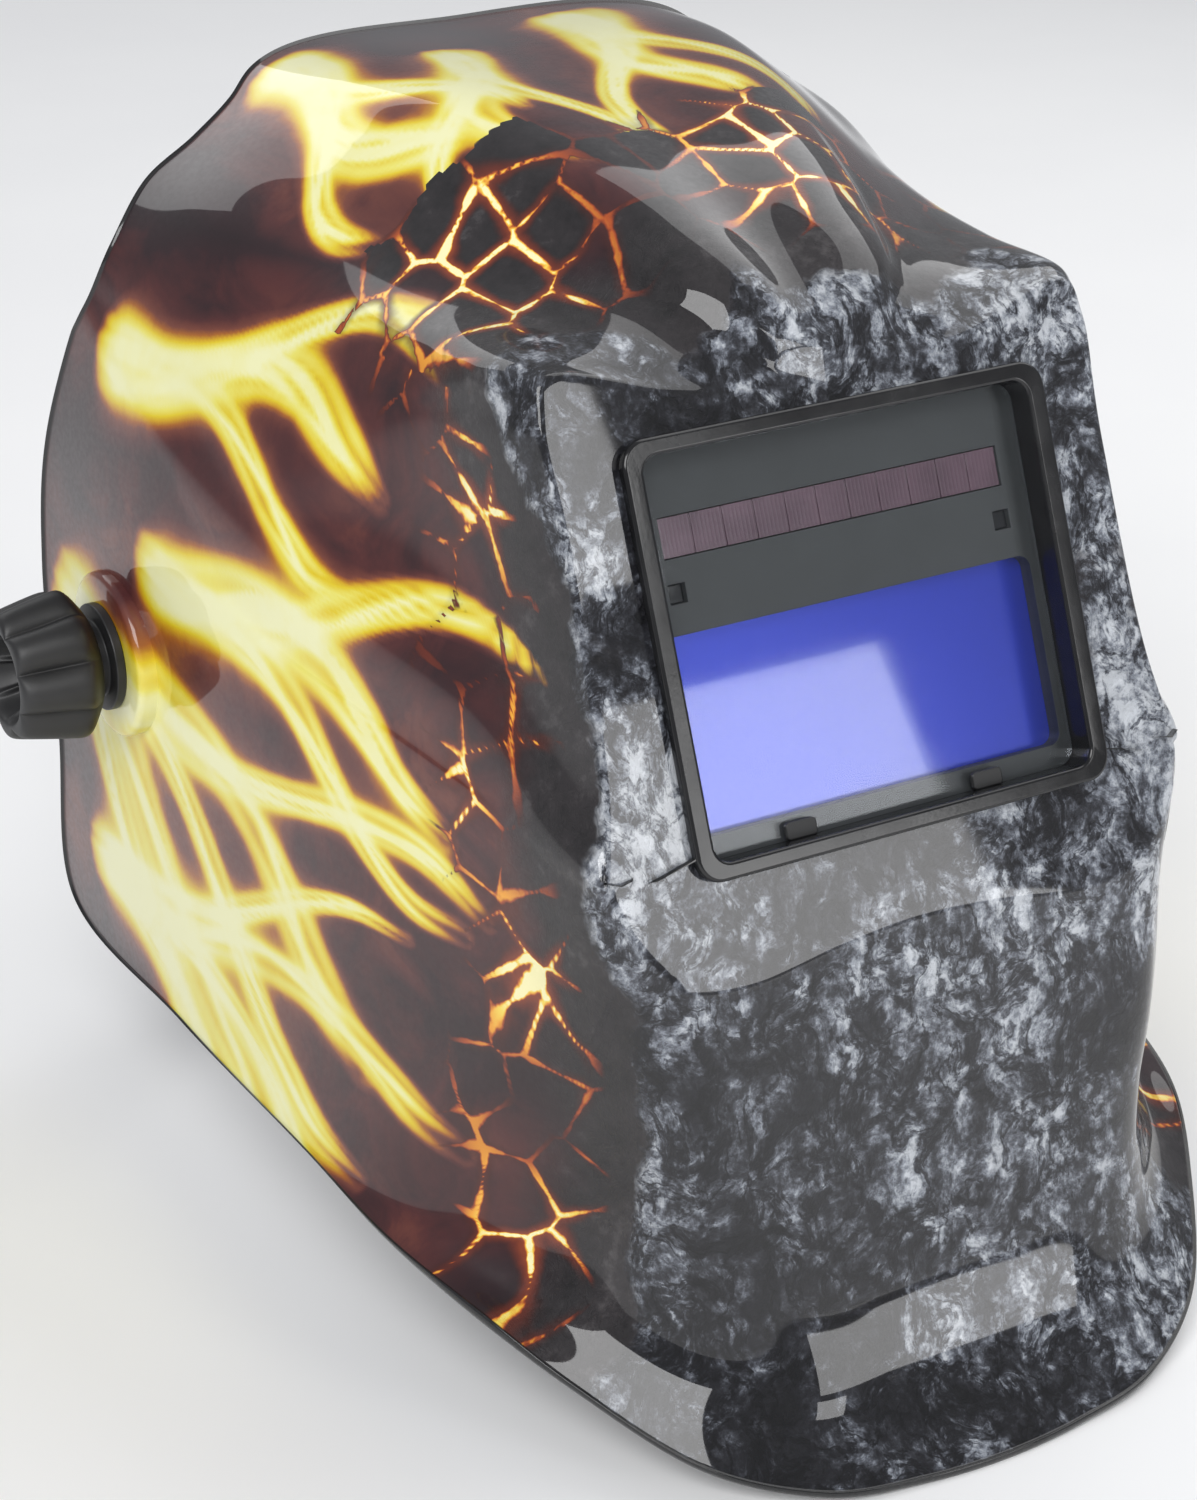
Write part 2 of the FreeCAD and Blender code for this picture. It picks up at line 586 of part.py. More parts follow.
def pivot_bolt(side):
    """A carriage bolt: flat head, square neck in the plate, round threaded shank."""
    bolt = cyl(7, (PLATE_X0 - 2.2, 0, 0), 2.2, (1, 0, 0))
    bolt = bolt.fuse(box(PLATE_X0, PLATE_X1, -BOLT_R, BOLT_R, -BOLT_R, BOLT_R))
    bolt = bolt.fuse(cyl(BOLT_R, (PLATE_X1, 0, 0), SHELL_SIDE + 18 - PLATE_X1, (1, 0, 0)))
    return bolt if side > 0 else mirrored(bolt)


SPACER_END = 104.0


def spacer(side):
    """The bush between the side plate and the shell, with its flange."""
    body = cyl(9, (PLATE_X1, 0, 0), SPACER_END - PLATE_X1, (1, 0, 0))
    body = body.fuse(cyl(15, (SPACER_END - 2.5, 0, 0), 2.5, (1, 0, 0)))
    body = body.cut(cyl(BOLT_R, (PLATE_X1 - 1, 0, 0), 40, (1, 0, 0)))
    return body if side > 0 else mirrored(body)


def friction_washer(side):
    """The washer that the shell turns on, with the peg that stops the tilt."""
    washer = cyl(WASHER_R, (SPACER_END + 0.2, 0, 0), INNER_WALL - SPACER_END - 0.2, (1, 0, 0))
    washer = washer.cut(cyl(BOLT_R + 0.05, (PLATE_X1, 0, 0), 40, (1, 0, 0)))
    return washer if side > 0 else mirrored(washer)


def outer_washer(side):
    """The black spacer between the shell and the knob."""
    body = cyl(13.5, (SHELL_SIDE, 0, 0), 2.6, (1, 0, 0))
    body = body.fuse(cyl(9.5, (SHELL_SIDE + 2.6, 0, 0), 2.6, (1, 0, 0)))
    body = body.cut(cyl(BOLT_R + 0.05, (SHELL_SIDE - 1, 0, 0), 20, (1, 0, 0)))
    return body if side > 0 else mirrored(body)


KNOB_START = SHELL_SIDE + 5.5


def tension_knob(side):
    """The fluted hand knob on the pivot bolt; its outer face is hollow."""
    x0, x1 = KNOB_START, KNOB_START + KNOB_LEN
    body = Part.makeCone(KNOB_R, KNOB_R - 3.5, KNOB_LEN - 5, Vec(x0 + 5, 0, 0), Vec(1, 0, 0))
    body = body.fuse(Part.makeCone(14.5, KNOB_R, 5, Vec(x0, 0, 0), Vec(1, 0, 0)))
    for k in range(8):
        s, c = tilt(45 * k + 22.5)
        body = body.cut(cyl(4.2, (x0 + 3, (KNOB_R + 1.4) * c, (KNOB_R + 1.4) * s), 30,
                            (1, -0.10 * c, -0.10 * s)))
    body = body.cut(Part.makeCone(8, 11.5, 9, Vec(x1 - 9, 0, 0), Vec(1, 0, 0)))
    body = body.fuse(cyl(4.6, (x1 - 9, 0, 0), 3.5, (1, 0, 0)))
    body = body.cut(cyl(BOLT_R + 0.05, (x0 - 1, 0, 0), 14, (1, 0, 0)))
    return body if side > 0 else mirrored(body)


# ---- the nape ratchet ---------------------------------------------------------------
def oval(half_w, half_h, s0, s1):
    """A rounded oblong plate across the nape."""
    radius = min(half_w, half_h) * 0.8
    body = box(-half_w, half_w, s0, s1, NAPE_N - half_h, NAPE_N + half_h)
    edges = [e for e in body.Edges if abs(e.Vertexes[0].Y - e.Vertexes[-1].Y) > 0.5 * (s1 - s0)]
    return body.makeFillet(radius, edges)


RACK_IN, RACK_OUT = NAPE_S - BAND_T, NAPE_S
RACK_OPEN, RACK_END = 0.3, 14.0
SHAFT_R, PINION_R, NAPE_KNOB_R = 4.0, 5.6, 20.0


def ratchet_housing():
    body = oval(HOUSE_HALF_W, HOUSE_HALF_H, HOUSE_S0, HOUSE_S1)
    body = body.cut(oval(HOUSE_HALF_W - 2.2, HOUSE_HALF_H - 2.2, HOUSE_S0 - 1, HOUSE_S1 - 2.4))
    body = body.cut(box(-60, 60, HOUSE_S0 - 1, RACK_OUT + RACK_OPEN, NAPE_N - 14.3, NAPE_N + 14.3))
    return body.cut(cyl(SHAFT_R + 0.05, (0, HOUSE_S1 - 6, NAPE_N), 10, (0, 1, 0)))


def ratchet_cover():
    """The inner plate of the nape unit, which the pad is fixed to."""
    return oval(HOUSE_HALF_W, HOUSE_HALF_H, HOUSE_S0 - 2, HOUSE_S0)


def nape_pad():
    return oval(HOUSE_HALF_W - 3, HOUSE_HALF_H - 5, HOUSE_S0 - 9, HOUSE_S0 - 2)


def nape_knob():
    """The ratchet's hand knob, with its shaft and pinion in one piece."""
    start = HOUSE_S1 + GAP
    body = Part.makeCone(NAPE_KNOB_R, NAPE_KNOB_R - 2, 11, Vec(0, start, NAPE_N), Vec(0, 1, 0))
    for k in range(12):
        s, c = tilt(30 * k)
        r = NAPE_KNOB_R + 1.2
        body = body.cut(cyl(2.6, (r * c, start - 1, NAPE_N + r * s), 14, (0, 1, 0)))
    body = body.fuse(cyl(SHAFT_R, (0, 109, NAPE_N), start - 109, (0, 1, 0)))
    pinion = cyl(PINION_R, (0, RACK_IN + 0.1, NAPE_N), 109 - RACK_IN - 0.1, (0, 1, 0))
    for k in range(12):
        s, c = tilt(30 * k + 15)
        pinion = pinion.cut(cyl(0.9, (PINION_R * c, 105, NAPE_N + PINION_R * s), 6, (0, 1, 0)))
    return body.fuse(pinion)


def rack(side):
    """One toothed end of the band; side -1 runs above the pinion, +1 below it."""
    low, high = (6.2, 13.4) if side < 0 else (-13.4, -6.2)
    strip = box(-NAPE_HALF, RACK_END, RACK_IN, RACK_OUT, NAPE_N + low, NAPE_N + high)
    root = box(-NAPE_HALF - 1, -NAPE_HALF + 6, RACK_IN, RACK_OUT, NAPE_N - 14, NAPE_N + 14)
    if side > 0:
        strip, root = mirrored(strip), mirrored(root)
    body = strip.fuse(root)
    inner_edge = NAPE_N - side * 6.2
    for k in range(15):
        x = -side * (RACK_END - 2 - 3.0 * k)
        body = body.cut(cyl(0.8, (x, RACK_IN - 1, inner_edge), 4, (0, 1, 0)))
    return body


# ---- writing the sub-parts ----------------------------------------------------------
save("shell", shell(), FreeCAD.Placement(BASE, FreeCAD.Rotation()))

LENS_NODES = {
    "lens_frame": lens_frame, "front_cover_lens": cover_lens, "cover_lens_clips": cover_clips,
    "cartridge_front": front_housing, "cartridge_rear": rear_housing,
    "solar_cell": solar_cell, "arc_sensors": arc_sensors, "lcd_filter": lcd_filter,
    "circuit_board": circuit_board, "test_button": test_button,
    "battery_tray": battery_tray, "coin_cell": coin_cell, "inside_cover_lens": inside_lens,
    "cartridge_holder": holder, "holder_screws": holder_screws, "cartridge_latch": latch,
}
for name, make in LENS_NODES.items():
    save(name, make(), LENS_PLACE)
for name, x in KNOBS.items():
    save(name + "_knob", control_knob(x), LENS_PLACE)

BAND_NODES = {
    "headband": headband, "sweatband": sweatband, "crown_strap_front": crown_strap_front,
    "crown_pins": crown_pins, "strap_rivets": strap_rivets,
    "ratchet_housing": ratchet_housing, "ratchet_cover": ratchet_cover,
    "nape_pad": nape_pad, "nape_knob": nape_knob,
}
for name, make in BAND_NODES.items():
    save(name, make(), BAND_PLACE)
SIDED_NODES = {
    "crown_strap_rear": crown_strap_rear, "band_corner": band_corner, "rack": rack,
    "side_plate": side_plate, "pivot_bolt": pivot_bolt, "pivot_spacer": spacer,
    "friction_washer": friction_washer, "outer_washer": outer_washer,
    "tension_knob": tension_knob,
}
for side, word in ((-1, "right"), (1, "left")):
    for name, make in SIDED_NODES.items():
        save(name + "_" + word, make(side), BAND_PLACE)
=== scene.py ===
import json
import math

import bmesh
import bpy
import numpy as np
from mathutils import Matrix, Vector


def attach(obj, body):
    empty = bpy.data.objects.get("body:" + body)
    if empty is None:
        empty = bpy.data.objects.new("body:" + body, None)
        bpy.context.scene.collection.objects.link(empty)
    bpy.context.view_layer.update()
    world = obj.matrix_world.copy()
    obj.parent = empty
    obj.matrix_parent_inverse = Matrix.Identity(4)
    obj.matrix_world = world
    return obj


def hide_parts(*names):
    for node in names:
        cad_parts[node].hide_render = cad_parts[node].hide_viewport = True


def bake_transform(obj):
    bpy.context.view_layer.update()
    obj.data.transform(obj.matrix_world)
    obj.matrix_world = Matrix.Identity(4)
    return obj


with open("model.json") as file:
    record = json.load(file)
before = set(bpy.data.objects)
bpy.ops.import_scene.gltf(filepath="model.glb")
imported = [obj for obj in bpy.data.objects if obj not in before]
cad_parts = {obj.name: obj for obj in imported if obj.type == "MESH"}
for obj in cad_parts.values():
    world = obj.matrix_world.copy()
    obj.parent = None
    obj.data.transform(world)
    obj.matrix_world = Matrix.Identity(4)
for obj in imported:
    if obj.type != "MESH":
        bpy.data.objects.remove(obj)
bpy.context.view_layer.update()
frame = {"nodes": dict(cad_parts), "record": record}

MM = 0.001
WINDOW = np.array([0.0, -99.26, 165.52])      # centre of the viewing window, in mm
LENS_TILT = math.radians(21.8)
LENS_S, LENS_C = math.sin(LENS_TILT), math.cos(LENS_TILT)
PIVOT = np.array([0.0, 64.74, 137.52])        # middle of the tilt axis, in mm
BAND_TILT = math.radians(38.0)
PLATE_OUT = 5.6                               # the shell's front plate, in front of the lens face
WALL = 2.3


# ---- node material helper ----------------------------------------------------------
class Nodes:
    """A short way to write a procedural material."""

    def __init__(self, name):
        self.mat = bpy.data.materials.new(name)
        self.mat.use_nodes = True
        self.tree = self.mat.node_tree
        self.tree.nodes.clear()
        self.out = self.tree.nodes.new("ShaderNodeOutputMaterial")
        self.object_place = None

    def put(self, socket, value):
        if isinstance(value, bpy.types.NodeSocket):
            self.tree.links.new(value, socket)
        elif value is not None:
            if hasattr(socket.default_value, "__len__"):
                size = len(socket.default_value)
                if not hasattr(value, "__len__"):
                    value = (value,) * size
                if size == 4 and len(value) == 3:
                    value = (*value, 1.0)
            socket.default_value = value

    def node(self, kind, settings=None, **inputs):
        n = self.tree.nodes.new("ShaderNode" + kind)
        for key, value in (settings or {}).items():
            setattr(n, key, value)
        for key, value in inputs.items():
            self.put(n.inputs[key.replace("_", " ")], value)
        return n

    def place(self, scale=1.0, stretch=(1, 1, 1)):
        if self.object_place is None:
            self.object_place = self.node("TexCoord").outputs["Object"]
        n = self.node("Mapping", None, Vector=self.object_place, Scale=[scale * s for s in stretch])
        return n.outputs[0]

    def attribute(self, name):
        return self.node("Attribute", {"attribute_name": name}).outputs["Fac"]

    def noise(self, scale, detail=4.0, rough=0.55, vector=None, distort=0.0):
        return self.node("TexNoise", None, Vector=vector or self.place(), Scale=scale, Detail=detail,
                         Roughness=rough, Distortion=distort).outputs["Fac"]

    def cells(self, scale, feature="F1", vector=None):
        return self.node("TexVoronoi", {"feature": feature}, Vector=vector or self.place(),
                         Scale=scale).outputs["Distance"]

    def math(self, kind, a, b=None, c=None, clamp=False):
        n = self.node("Math", {"operation": kind, "use_clamp": clamp})
        for i, value in enumerate((a, b, c)):
            if value is not None:
                self.put(n.inputs[i], value)
        return n.outputs[0]

    def span(self, value, low, high, to_low=0.0, to_high=1.0, smooth=True):
        n = self.node("MapRange", {"interpolation_type": "SMOOTHSTEP" if smooth else "LINEAR"},
                      Value=value, From_Min=low, From_Max=high, To_Min=to_low, To_Max=to_high)
        return n.outputs["Result"]

    def ramp(self, value, stops):
        n = self.node("ValToRGB", None, Fac=value)
        ramp = n.color_ramp
        ramp.elements.remove(ramp.elements[1])
        for i, (place, colour) in enumerate(stops):
            element = ramp.elements.new(place) if i else ramp.elements[0]
            element.position = place
            element.color = (*colour, 1.0)
        return n.outputs["Color"]

    def mix(self, factor, a, b, kind="MIX"):
        n = self.node("Mix", {"data_type": "RGBA", "blend_type": kind})
        self.put(n.inputs[0], factor)
        self.put(n.inputs[6], a)
        self.put(n.inputs[7], b)
        return n.outputs[2]

    def bump(self, height, distance, strength=1.0, normal=None):
        return self.node("Bump", None, Height=height, Distance=distance, Strength=strength,
                         Normal=normal).outputs[0]

    def finish(self, colour, rough, normal=None, metal=0.0, coat=0.0, coat_rough=0.03, coat_normal=None,
               specular=0.5, sheen=0.0, emission=None, glow=0.0):
        b = self.node("BsdfPrincipled", None, Base_Color=colour, Roughness=rough, Metallic=metal,
                      Normal=normal)
        self.put(b.inputs["Coat Weight"], coat)
        self.put(b.inputs["Coat Roughness"], coat_rough)
        self.put(b.inputs["Coat Normal"], coat_normal)
        self.put(b.inputs["Specular IOR Level"], specular)
        self.put(b.inputs["Sheen Weight"], sheen)
        # emission paints a glow into the surface itself
        if emission is not None:
            self.put(b.inputs["Emission Color"], emission)
            self.put(b.inputs["Emission Strength"], glow)
        self.tree.links.new(b.outputs[0], self.out.inputs["Surface"])
        return self.mat


# ---- the shell's shape -------------------------------------------------------------
def on_plate(x, h):
    return (x, -PLATE_OUT * LENS_C + LENS_S * h, PLATE_OUT * LENS_S + LENS_C * h)


# Half of the skin, from the window centre in mm: each spoke starts at the lens opening,
# crosses the front plate and its crease, and ends on the rim.
SPOKES = [
    [on_plate(0, 64), on_plate(0, 78.6), (0, 30, 82), (0, 58, 96), (0, 100, 108.5),
     (0, 150, 112), (0, 195, 110)],
    [on_plate(12, 64), on_plate(15, 75), (20, 31, 84), (29, 56, 94.5), (45, 108, 106.5),
     (55, 150, 109), (60, 184, 107)],
    [on_plate(20, 64), on_plate(23, 71.5), (27, 30, 79), (37, 56, 88.5), (54, 108, 100),
     (63, 150, 103.5), (67, 180, 102)],
    [on_plate(36, 64), on_plate(38, 74), (43, 31, 77.5), (52, 60, 83), (65, 108, 91),
     (74, 150, 95.5), (78, 177, 95)],
    [on_plate(48, 62.5), on_plate(65, 82), (70, 33, 79), (74, 62, 77), (82, 108, 76),
     (89, 147, 84), (92, 176, 86)],
    [on_plate(52.5, 57), on_plate(71, 73), (74.5, 31, 68), (81, 62, 61), (94, 104, 54),
     (100, 147, 68), (103, 172, 73.5)],
    [on_plate(53, 35), on_plate(70.5, 43), (74, 19, 40), (83, 52, 30), (101, 103, 29),
     (105, 147, 50), (108, 176, 60)],
    [on_plate(53, 5), on_plate(72.5, -6), (76, -1, -8), (85.5, 28, 2), (103, 100, 14),
     (108.5, 145, 38), (110, 180, 53)],
    [on_plate(53, -14), on_plate(75, -22), (77.5, -11, -18), (86, 26, -9), (103.5, 104, 6),
     (109, 145, 34), (110.5, 183, 49)],
    [on_plate(52.5, -22), on_plate(75.5, -27), (78, -12, -26), (87, 26, -15), (104, 104, -1),
     (111, 150, 16), (113, 194, 26)],
    [on_plate(52, -24), on_plate(75.5, -30), (78, -13, -33), (88.5, 28, -32), (103, 90, -30),
     (111, 150, -22), (114, 205, -18)],
    [on_plate(51.5, -26), on_plate(75, -32), (77.5, -13, -40), (89.5, 28, -48), (102.5, 85, -55),
     (110, 145, -62), (113.3, 204, -65)],
    [on_plate(50.5, -27.5), on_plate(74.5, -34), (77, -13, -47), (90, 26, -64), (103, 80, -83),
     (109.5, 140, -98), (111, 209, -116)],
    [on_plate(49, -29), on_plate(74, -36.5), (76.5, -13, -54), (89.5, 20, -76), (101, 60, -97),
     (107.5, 100, -111), (110.3, 140, -121.5)],
    [on_plate(47, -29.5), on_plate(73, -39), (75.5, -12, -60), (87, 12, -84), (96, 32, -103),
     (104, 48, -118), (109, 72, -123)],
    [on_plate(44, -30), on_plate(71.5, -42), (74.5, -13, -66), (80.5, 1, -92), (86.5, 12, -110),
     (96, 22, -122), (106, 32, -127.5)],
    [on_plate(40, -30), on_plate(69.5, -45), (72, -18, -70), (73.5, -10, -98), (79.5, -2, -118),
     (90, 4, -129), (99, 3, -132)],
    [on_plate(36, -30), on_plate(66, -48.5), (67, -25, -72), (67, -22, -103), (71, -20, -123),
     (78, -18, -134), (87, -20.5, -142.5)],
    [on_plate(30, -30), on_plate(60.5, -52.5), (59.5, -30, -75), (58.5, -31, -106),
     (59, -33, -128), (63, -36, -142), (69, -45, -155)],
    [on_plate(22, -30), on_plate(44, -54.5), (44, -31, -76), (42, -34.5, -108),
     (42, -40, -132), (43, -48, -149), (46, -59.5, -161.5)],
    [on_plate(12, -30), on_plate(20, -51.5), (21, -30, -74), (20, -34.5, -107),
     (20, -40.5, -133), (20.5, -50.5, -151.5), (22, -64.5, -163.3)],
    [on_plate(0, -30), on_plate(0, -50), (0, -30, -73), (0, -34.5, -107), (0, -40.5, -133),
     (0, -51, -152), (0, -66, -163.7)],
]


def smooth_step(x, low, high):
    """0 below low, 1 above high, and a smooth rise between them."""
    u = np.clip((x - low) / (high - low), 0, 1)
    return u * u * (3 - 2 * u)


def along(points, knots, places, closed, crease=None):
    """A smooth line through points (n, lines, 3) at the given places; it may turn sharply at a crease."""
    step = np.diff(knots)[:, None, None]
    slope = (points[1:] - points[:-1]) / step
    before, after = np.concatenate([slope[-1:], slope]), np.concatenate([slope, slope[:1]])
    w_before, w_after = np.concatenate([step[-1:], step]), np.concatenate([step, step[:1]])
    tangent_in = (before * w_after + after * w_before) / (w_before + w_after)
    tangent_out = tangent_in.copy()
    if not closed:
        tangent_in[-1] = tangent_out[-1] = slope[-1]
        tangent_in[0] = tangent_out[0] = slope[0]
    if crease is not None:
        tangent_in[crease] = slope[crease - 1]
        tangent_out[crease] = slope[crease]
    result = []
    for place in places:
        i = min(max(int(np.searchsorted(knots, place, side="right")) - 1, 0), len(knots) - 2)
        width = knots[i + 1] - knots[i]
        u = (place - knots[i]) / width
        h01 = u * u * (3 - 2 * u)
        result.append(points[i] * (1 - h01) + points[i + 1] * h01
                      + tangent_out[i] * (width * u * (1 - u) ** 2)
                      - tangent_in[i + 1] * (width * u * u * (1 - u)))
    return np.array(result)


def knots_of(lines):
    """Mean distance along (points, lines, 3)."""
    steps = np.linalg.norm(np.diff(lines, axis=0), axis=2).mean(1)
    return np.concatenate([[0], np.cumsum(steps)])


def even(knots, pitch):
    """Places about pitch apart that include every knot."""
    places = []
    for a, b in zip(knots[:-1], knots[1:]):
        count = max(1, int(round((b - a) / pitch)))
        places += [a + (b - a) * k / count for k in range(count)]
    return places + [knots[-1]]


def shell_grid(pitch):
    """The outer skin as (rows, columns, 3) in mm from the window centre; columns close on themselves."""
    half = np.array(SPOKES, float)
    other = half[-2:0:-1] * np.array([-1, 1, 1])
    spokes = np.concatenate([half, other, half[:1]])
    rows = spokes.transpose(1, 0, 2)
    row_knots = knots_of(rows)
    col_knots = knots_of(spokes[:, 3:])
    fine = along(rows, row_knots, even(row_knots, pitch), False, crease=1)
    grid = along(fine.transpose(1, 0, 2), col_knots, even(col_knots, pitch)[:-1], True)
    grid = grid.transpose(1, 0, 2)
    for _ in range(3):                        # rounds the crease of the front plate a little
        grid[1:-1] += 0.25 * (grid[:-2] - 2 * grid[1:-1] + grid[2:])
    return grid


def grid_normals(grid):
    across = np.roll(grid, -1, 1) - np.roll(grid, 1, 1)
    down = np.gradient(grid, axis=0)
    normal = np.cross(across, down)
    return normal / np.maximum(np.linalg.norm(normal, axis=2, keepdims=True), 1e-9)


# The raised tongue down the middle of the crown, and the groove that runs to a point
# beside it: outlines in x and y, from the window centre, in mm.
TONGUE = [(0, 22), (11, 23.5), (20, 28), (27, 37), (32, 50), (36, 66), (39, 84), (41, 104), (0, 104)]
GROOVE = [(29, 33), (35, 46), (41, 62), (46, 78), (42, 80), (36, 60)]


def polygon_distance(x, y, corners):
    """Signed distance to a closed outline, in its own plane: below 0 inside."""
    best, inside = np.full(x.shape, 1e9), np.zeros(x.shape, bool)
    for (x0, y0), (x1, y1) in zip(corners, corners[1:] + corners[:1]):
        dx, dy = x1 - x0, y1 - y0
        u = np.clip(((x - x0) * dx + (y - y0) * dy) / (dx * dx + dy * dy), 0, 1)
        best = np.minimum(best, np.hypot(x - x0 - u * dx, y - y0 - u * dy))
        crosses = ((y0 > y) != (y1 > y)) & (x < x0 + (y - y0) * dx / (dy if dy else 1e-9))
        inside ^= crosses
    return np.where(inside, -best, best)


def emboss(grid):
    """Raises the tongue and sinks the grooves beside it, along the skin's normals."""
    x, y, z = np.abs(grid[..., 0]), grid[..., 1], grid[..., 2]
    over = (z > 55) & (y > 8)
    tongue = polygon_distance(x, y, [(-px, py) for px, py in TONGUE[1:-1]][::-1] + TONGUE[:-1])
    fade = 1 - smooth_step(y, 66, 100)
    lift = (1 - smooth_step(tongue, -2.2, 2.0)) * fade
    groove = polygon_distance(x, y, GROOVE)
    lift -= 0.7 * (1 - smooth_step(groove, -3.6, 1.6)) * (1 - smooth_step(y, 56, 82))
    return grid + grid_normals(grid) * (lift * over)[..., None]


def ring_faces(rows, cols, first=0):
    """Quads between rows of a grid whose columns close on themselves."""
    r, c = np.meshgrid(np.arange(rows - 1), np.arange(cols), indexing="ij")
    d = (c + 1) % cols
    quads = np.stack([r * cols + c, r * cols + d, (r + 1) * cols + d, (r + 1) * cols + c], -1)
    return (quads + first).reshape(-1, 4)


def mesh_object(name, points, faces, smooth=True):
    """A mesh from points in metres and quads or triangles."""
    mesh = bpy.data.meshes.new(name)
    faces = [list(map(int, f)) for f in faces]
    mesh.from_pydata([tuple(p) for p in points], [], faces)
    mesh.update()
    if smooth:
        mesh.polygons.foreach_set("use_smooth", [True] * len(mesh.polygons))
    obj = bpy.data.objects.new(name, mesh)
    bpy.context.scene.collection.objects.link(obj)
    return obj


# ---- the painted scene on the shell -------------------------------------------------
# Flames run in bands. Each band on the sides starts at y and z, and each on the crown at
# x and y, in mm from the window centre. Then come its heading in degrees, the length and
# sway of its tongues, their width and how many there are.
SIDE_BANDS = [
    (172, 52, 182, 122, 13, 10.0, 3),
    (152, 4, 188, 136, 15, 11.0, 3),
    (200, -16, 214, 190, 17, 12.5, 5),
    (194, -92, 186, 172, 12, 9.0, 4),
]
CROWN_BANDS = [
    (-58, 182, 276, 100, 11, 9.0, 3),
    (-22, 160, 262, 84, 11, 8.0, 3),
    (22, 184, 270, 106, 11, 10.0, 3),
]
FAN = 11.0                  # degrees between the tongues of one band
CELL = 15.0                 # size of one cooled stone, in mm
CROWN_Z = 84.0              # the crown's flames start above this
BROW_Z = 70.0               # and its stones and cracks above this
# Where the grey rock starts, seen from the side: z and y, from the chin to the brow.
ROCK_EDGE = [(-170, -30), (-120, -18), (-60, -20), (0, -4), (40, 12), (80, 42), (120, 36)]
# The same on the brow, seen from above: distance from the middle plane, and y.
BROW_EDGE = [(0, 30), (16, 33), (34, 30), (46, 40), (60, 46), (74, 40)]


def tongues(bands, seed):
    """The middle line, width and strength of every flame in the bands, in their own plane."""
    draw = np.random.default_rng(seed)
    for u, v, heading, length, sway, width, count in bands:
        for k in range(count):
            angle = math.radians(heading + FAN * (k - (count - 1) / 2))
            reach = length * draw.uniform(0.78, 1.05)
            t = np.linspace(0, 1, 9)
            bend = sway * t ** 0.6 * np.sin(2 * math.pi * (0.95 * t + 0.23 * k) + draw.uniform(-0.5, 0.5))
            line = np.stack([u + reach * t * math.cos(angle) - bend * math.sin(angle),
                             v + reach * t * math.sin(angle) + bend * math.cos(angle)], 1)
            yield line, width * (0.62 + 0.38 * (k % 2)), draw.uniform(0.78, 1.0)


def cracked(u, v, seed):
    """A cracked-stone pattern: distance to the nearest crack, a number for each stone, and its centre."""
    table = np.random.default_rng(seed).uniform(0.08, 0.92, (64, 64, 3))
    across, up = np.floor(u / CELL).astype(int), np.floor(v / CELL).astype(int)
    best, second = np.full(len(u), 1e9), np.full(len(u), 1e9)
    stone = np.zeros((len(u), 3))
    for i in (-1, 0, 1):
        for j in (-1, 0, 1):
            own = table[(across + i) % 64, (up + j) % 64]
            centre = np.stack([(across + i + own[:, 0]) * CELL, (up + j + own[:, 1]) * CELL], 1)
            d = np.hypot(centre[:, 0] - u, centre[:, 1] - v)
            closer = d < best
            second = np.where(closer, best, np.minimum(second, d))
            best = np.where(closer, d, best)
            stone[closer] = np.concatenate([centre, own[:, 2:]], 1)[closer]
    return (second - best) / 2, stone


def flowing(points, parts=5):
    """A smooth line through points, with this many steps between each two."""
    points = points[:, None, :]
    knots = knots_of(points)
    places = [knots[i] + (knots[i + 1] - knots[i]) * k / parts for i in range(len(knots) - 1)
              for k in range(parts)] + [knots[-1]]
    return along(points, knots, places, False)[:, 0]


def nearest(points, line):
    """Distance to a flat line, signed distance to its side, and how far along it, from 0 to 1."""
    lengths = np.linalg.norm(np.diff(line, axis=0), axis=1)
    total, gone = lengths.sum(), 0.0
    best = np.full(len(points), 1e9)
    side, place = np.zeros(len(points)), np.zeros(len(points))
    for a, b, length in zip(line[:-1], line[1:], lengths):
        tangent = (b - a) / length
        run = np.clip((points - a) @ tangent, 0, length)
        off = points - a - run[:, None] * tangent
        distance = np.linalg.norm(off, axis=1)
        closer = distance < best
        best = np.where(closer, distance, best)
        side = np.where(closer, off[:, 0] * tangent[1] - off[:, 1] * tangent[0], side)
        place = np.where(closer, (gone + run) / total, place)
        gone += length
    return best, side, place


def flame_fields(flat, visible, bands, seed):
    """Heat and glow of the bands' flames over points in their plane."""
    cool, glow = np.ones(len(flat)), np.zeros(len(flat))
    for number, (line, width, strength) in enumerate(tongues(bands, seed)):
        line = flowing(line)
        reach = 4.2 * width
        near = np.flatnonzero(((flat > line.min(0) - reach) & (flat < line.max(0) + reach)).all(1)
                              & (visible > 0))
        if not len(near):
            continue
        d, q, t = nearest(flat[near], line)
        spread = width * (1.1 - 0.6 * t) * (1 + 0.14 * np.sin(8 * t + number))
        ends = smooth_step(t, -0.02, 0.12) * (1 - 0.75 * smooth_step(t, 0.86, 1.03))
        offset = np.sign(q) * d / spread
        threads = np.zeros(len(near))
        for k in range(4):                # thin bright threads that cross one another
            drift = 0.85 * np.sin(2.4 * t * (1 + 0.3 * k) + 1.9 * k + 1.3 * number)
            threads = np.maximum(threads, np.exp(-((offset - drift) / 0.33) ** 2))
        envelope = np.exp(-(d / spread) ** 2.2)
        body = envelope * (0.33 + 0.68 * threads) + 0.22 * np.exp(-(d / (2.2 * spread)) ** 2)
        cool[near] *= 1 - 0.96 * np.clip(1.06 * strength * body * ends, 0, 1) * visible[near]
        halo = strength * np.exp(-(d / (3.6 * width)) ** 2) * visible[near]
        glow[near] = np.maximum(glow[near], halo)
    return 1 - cool, glow


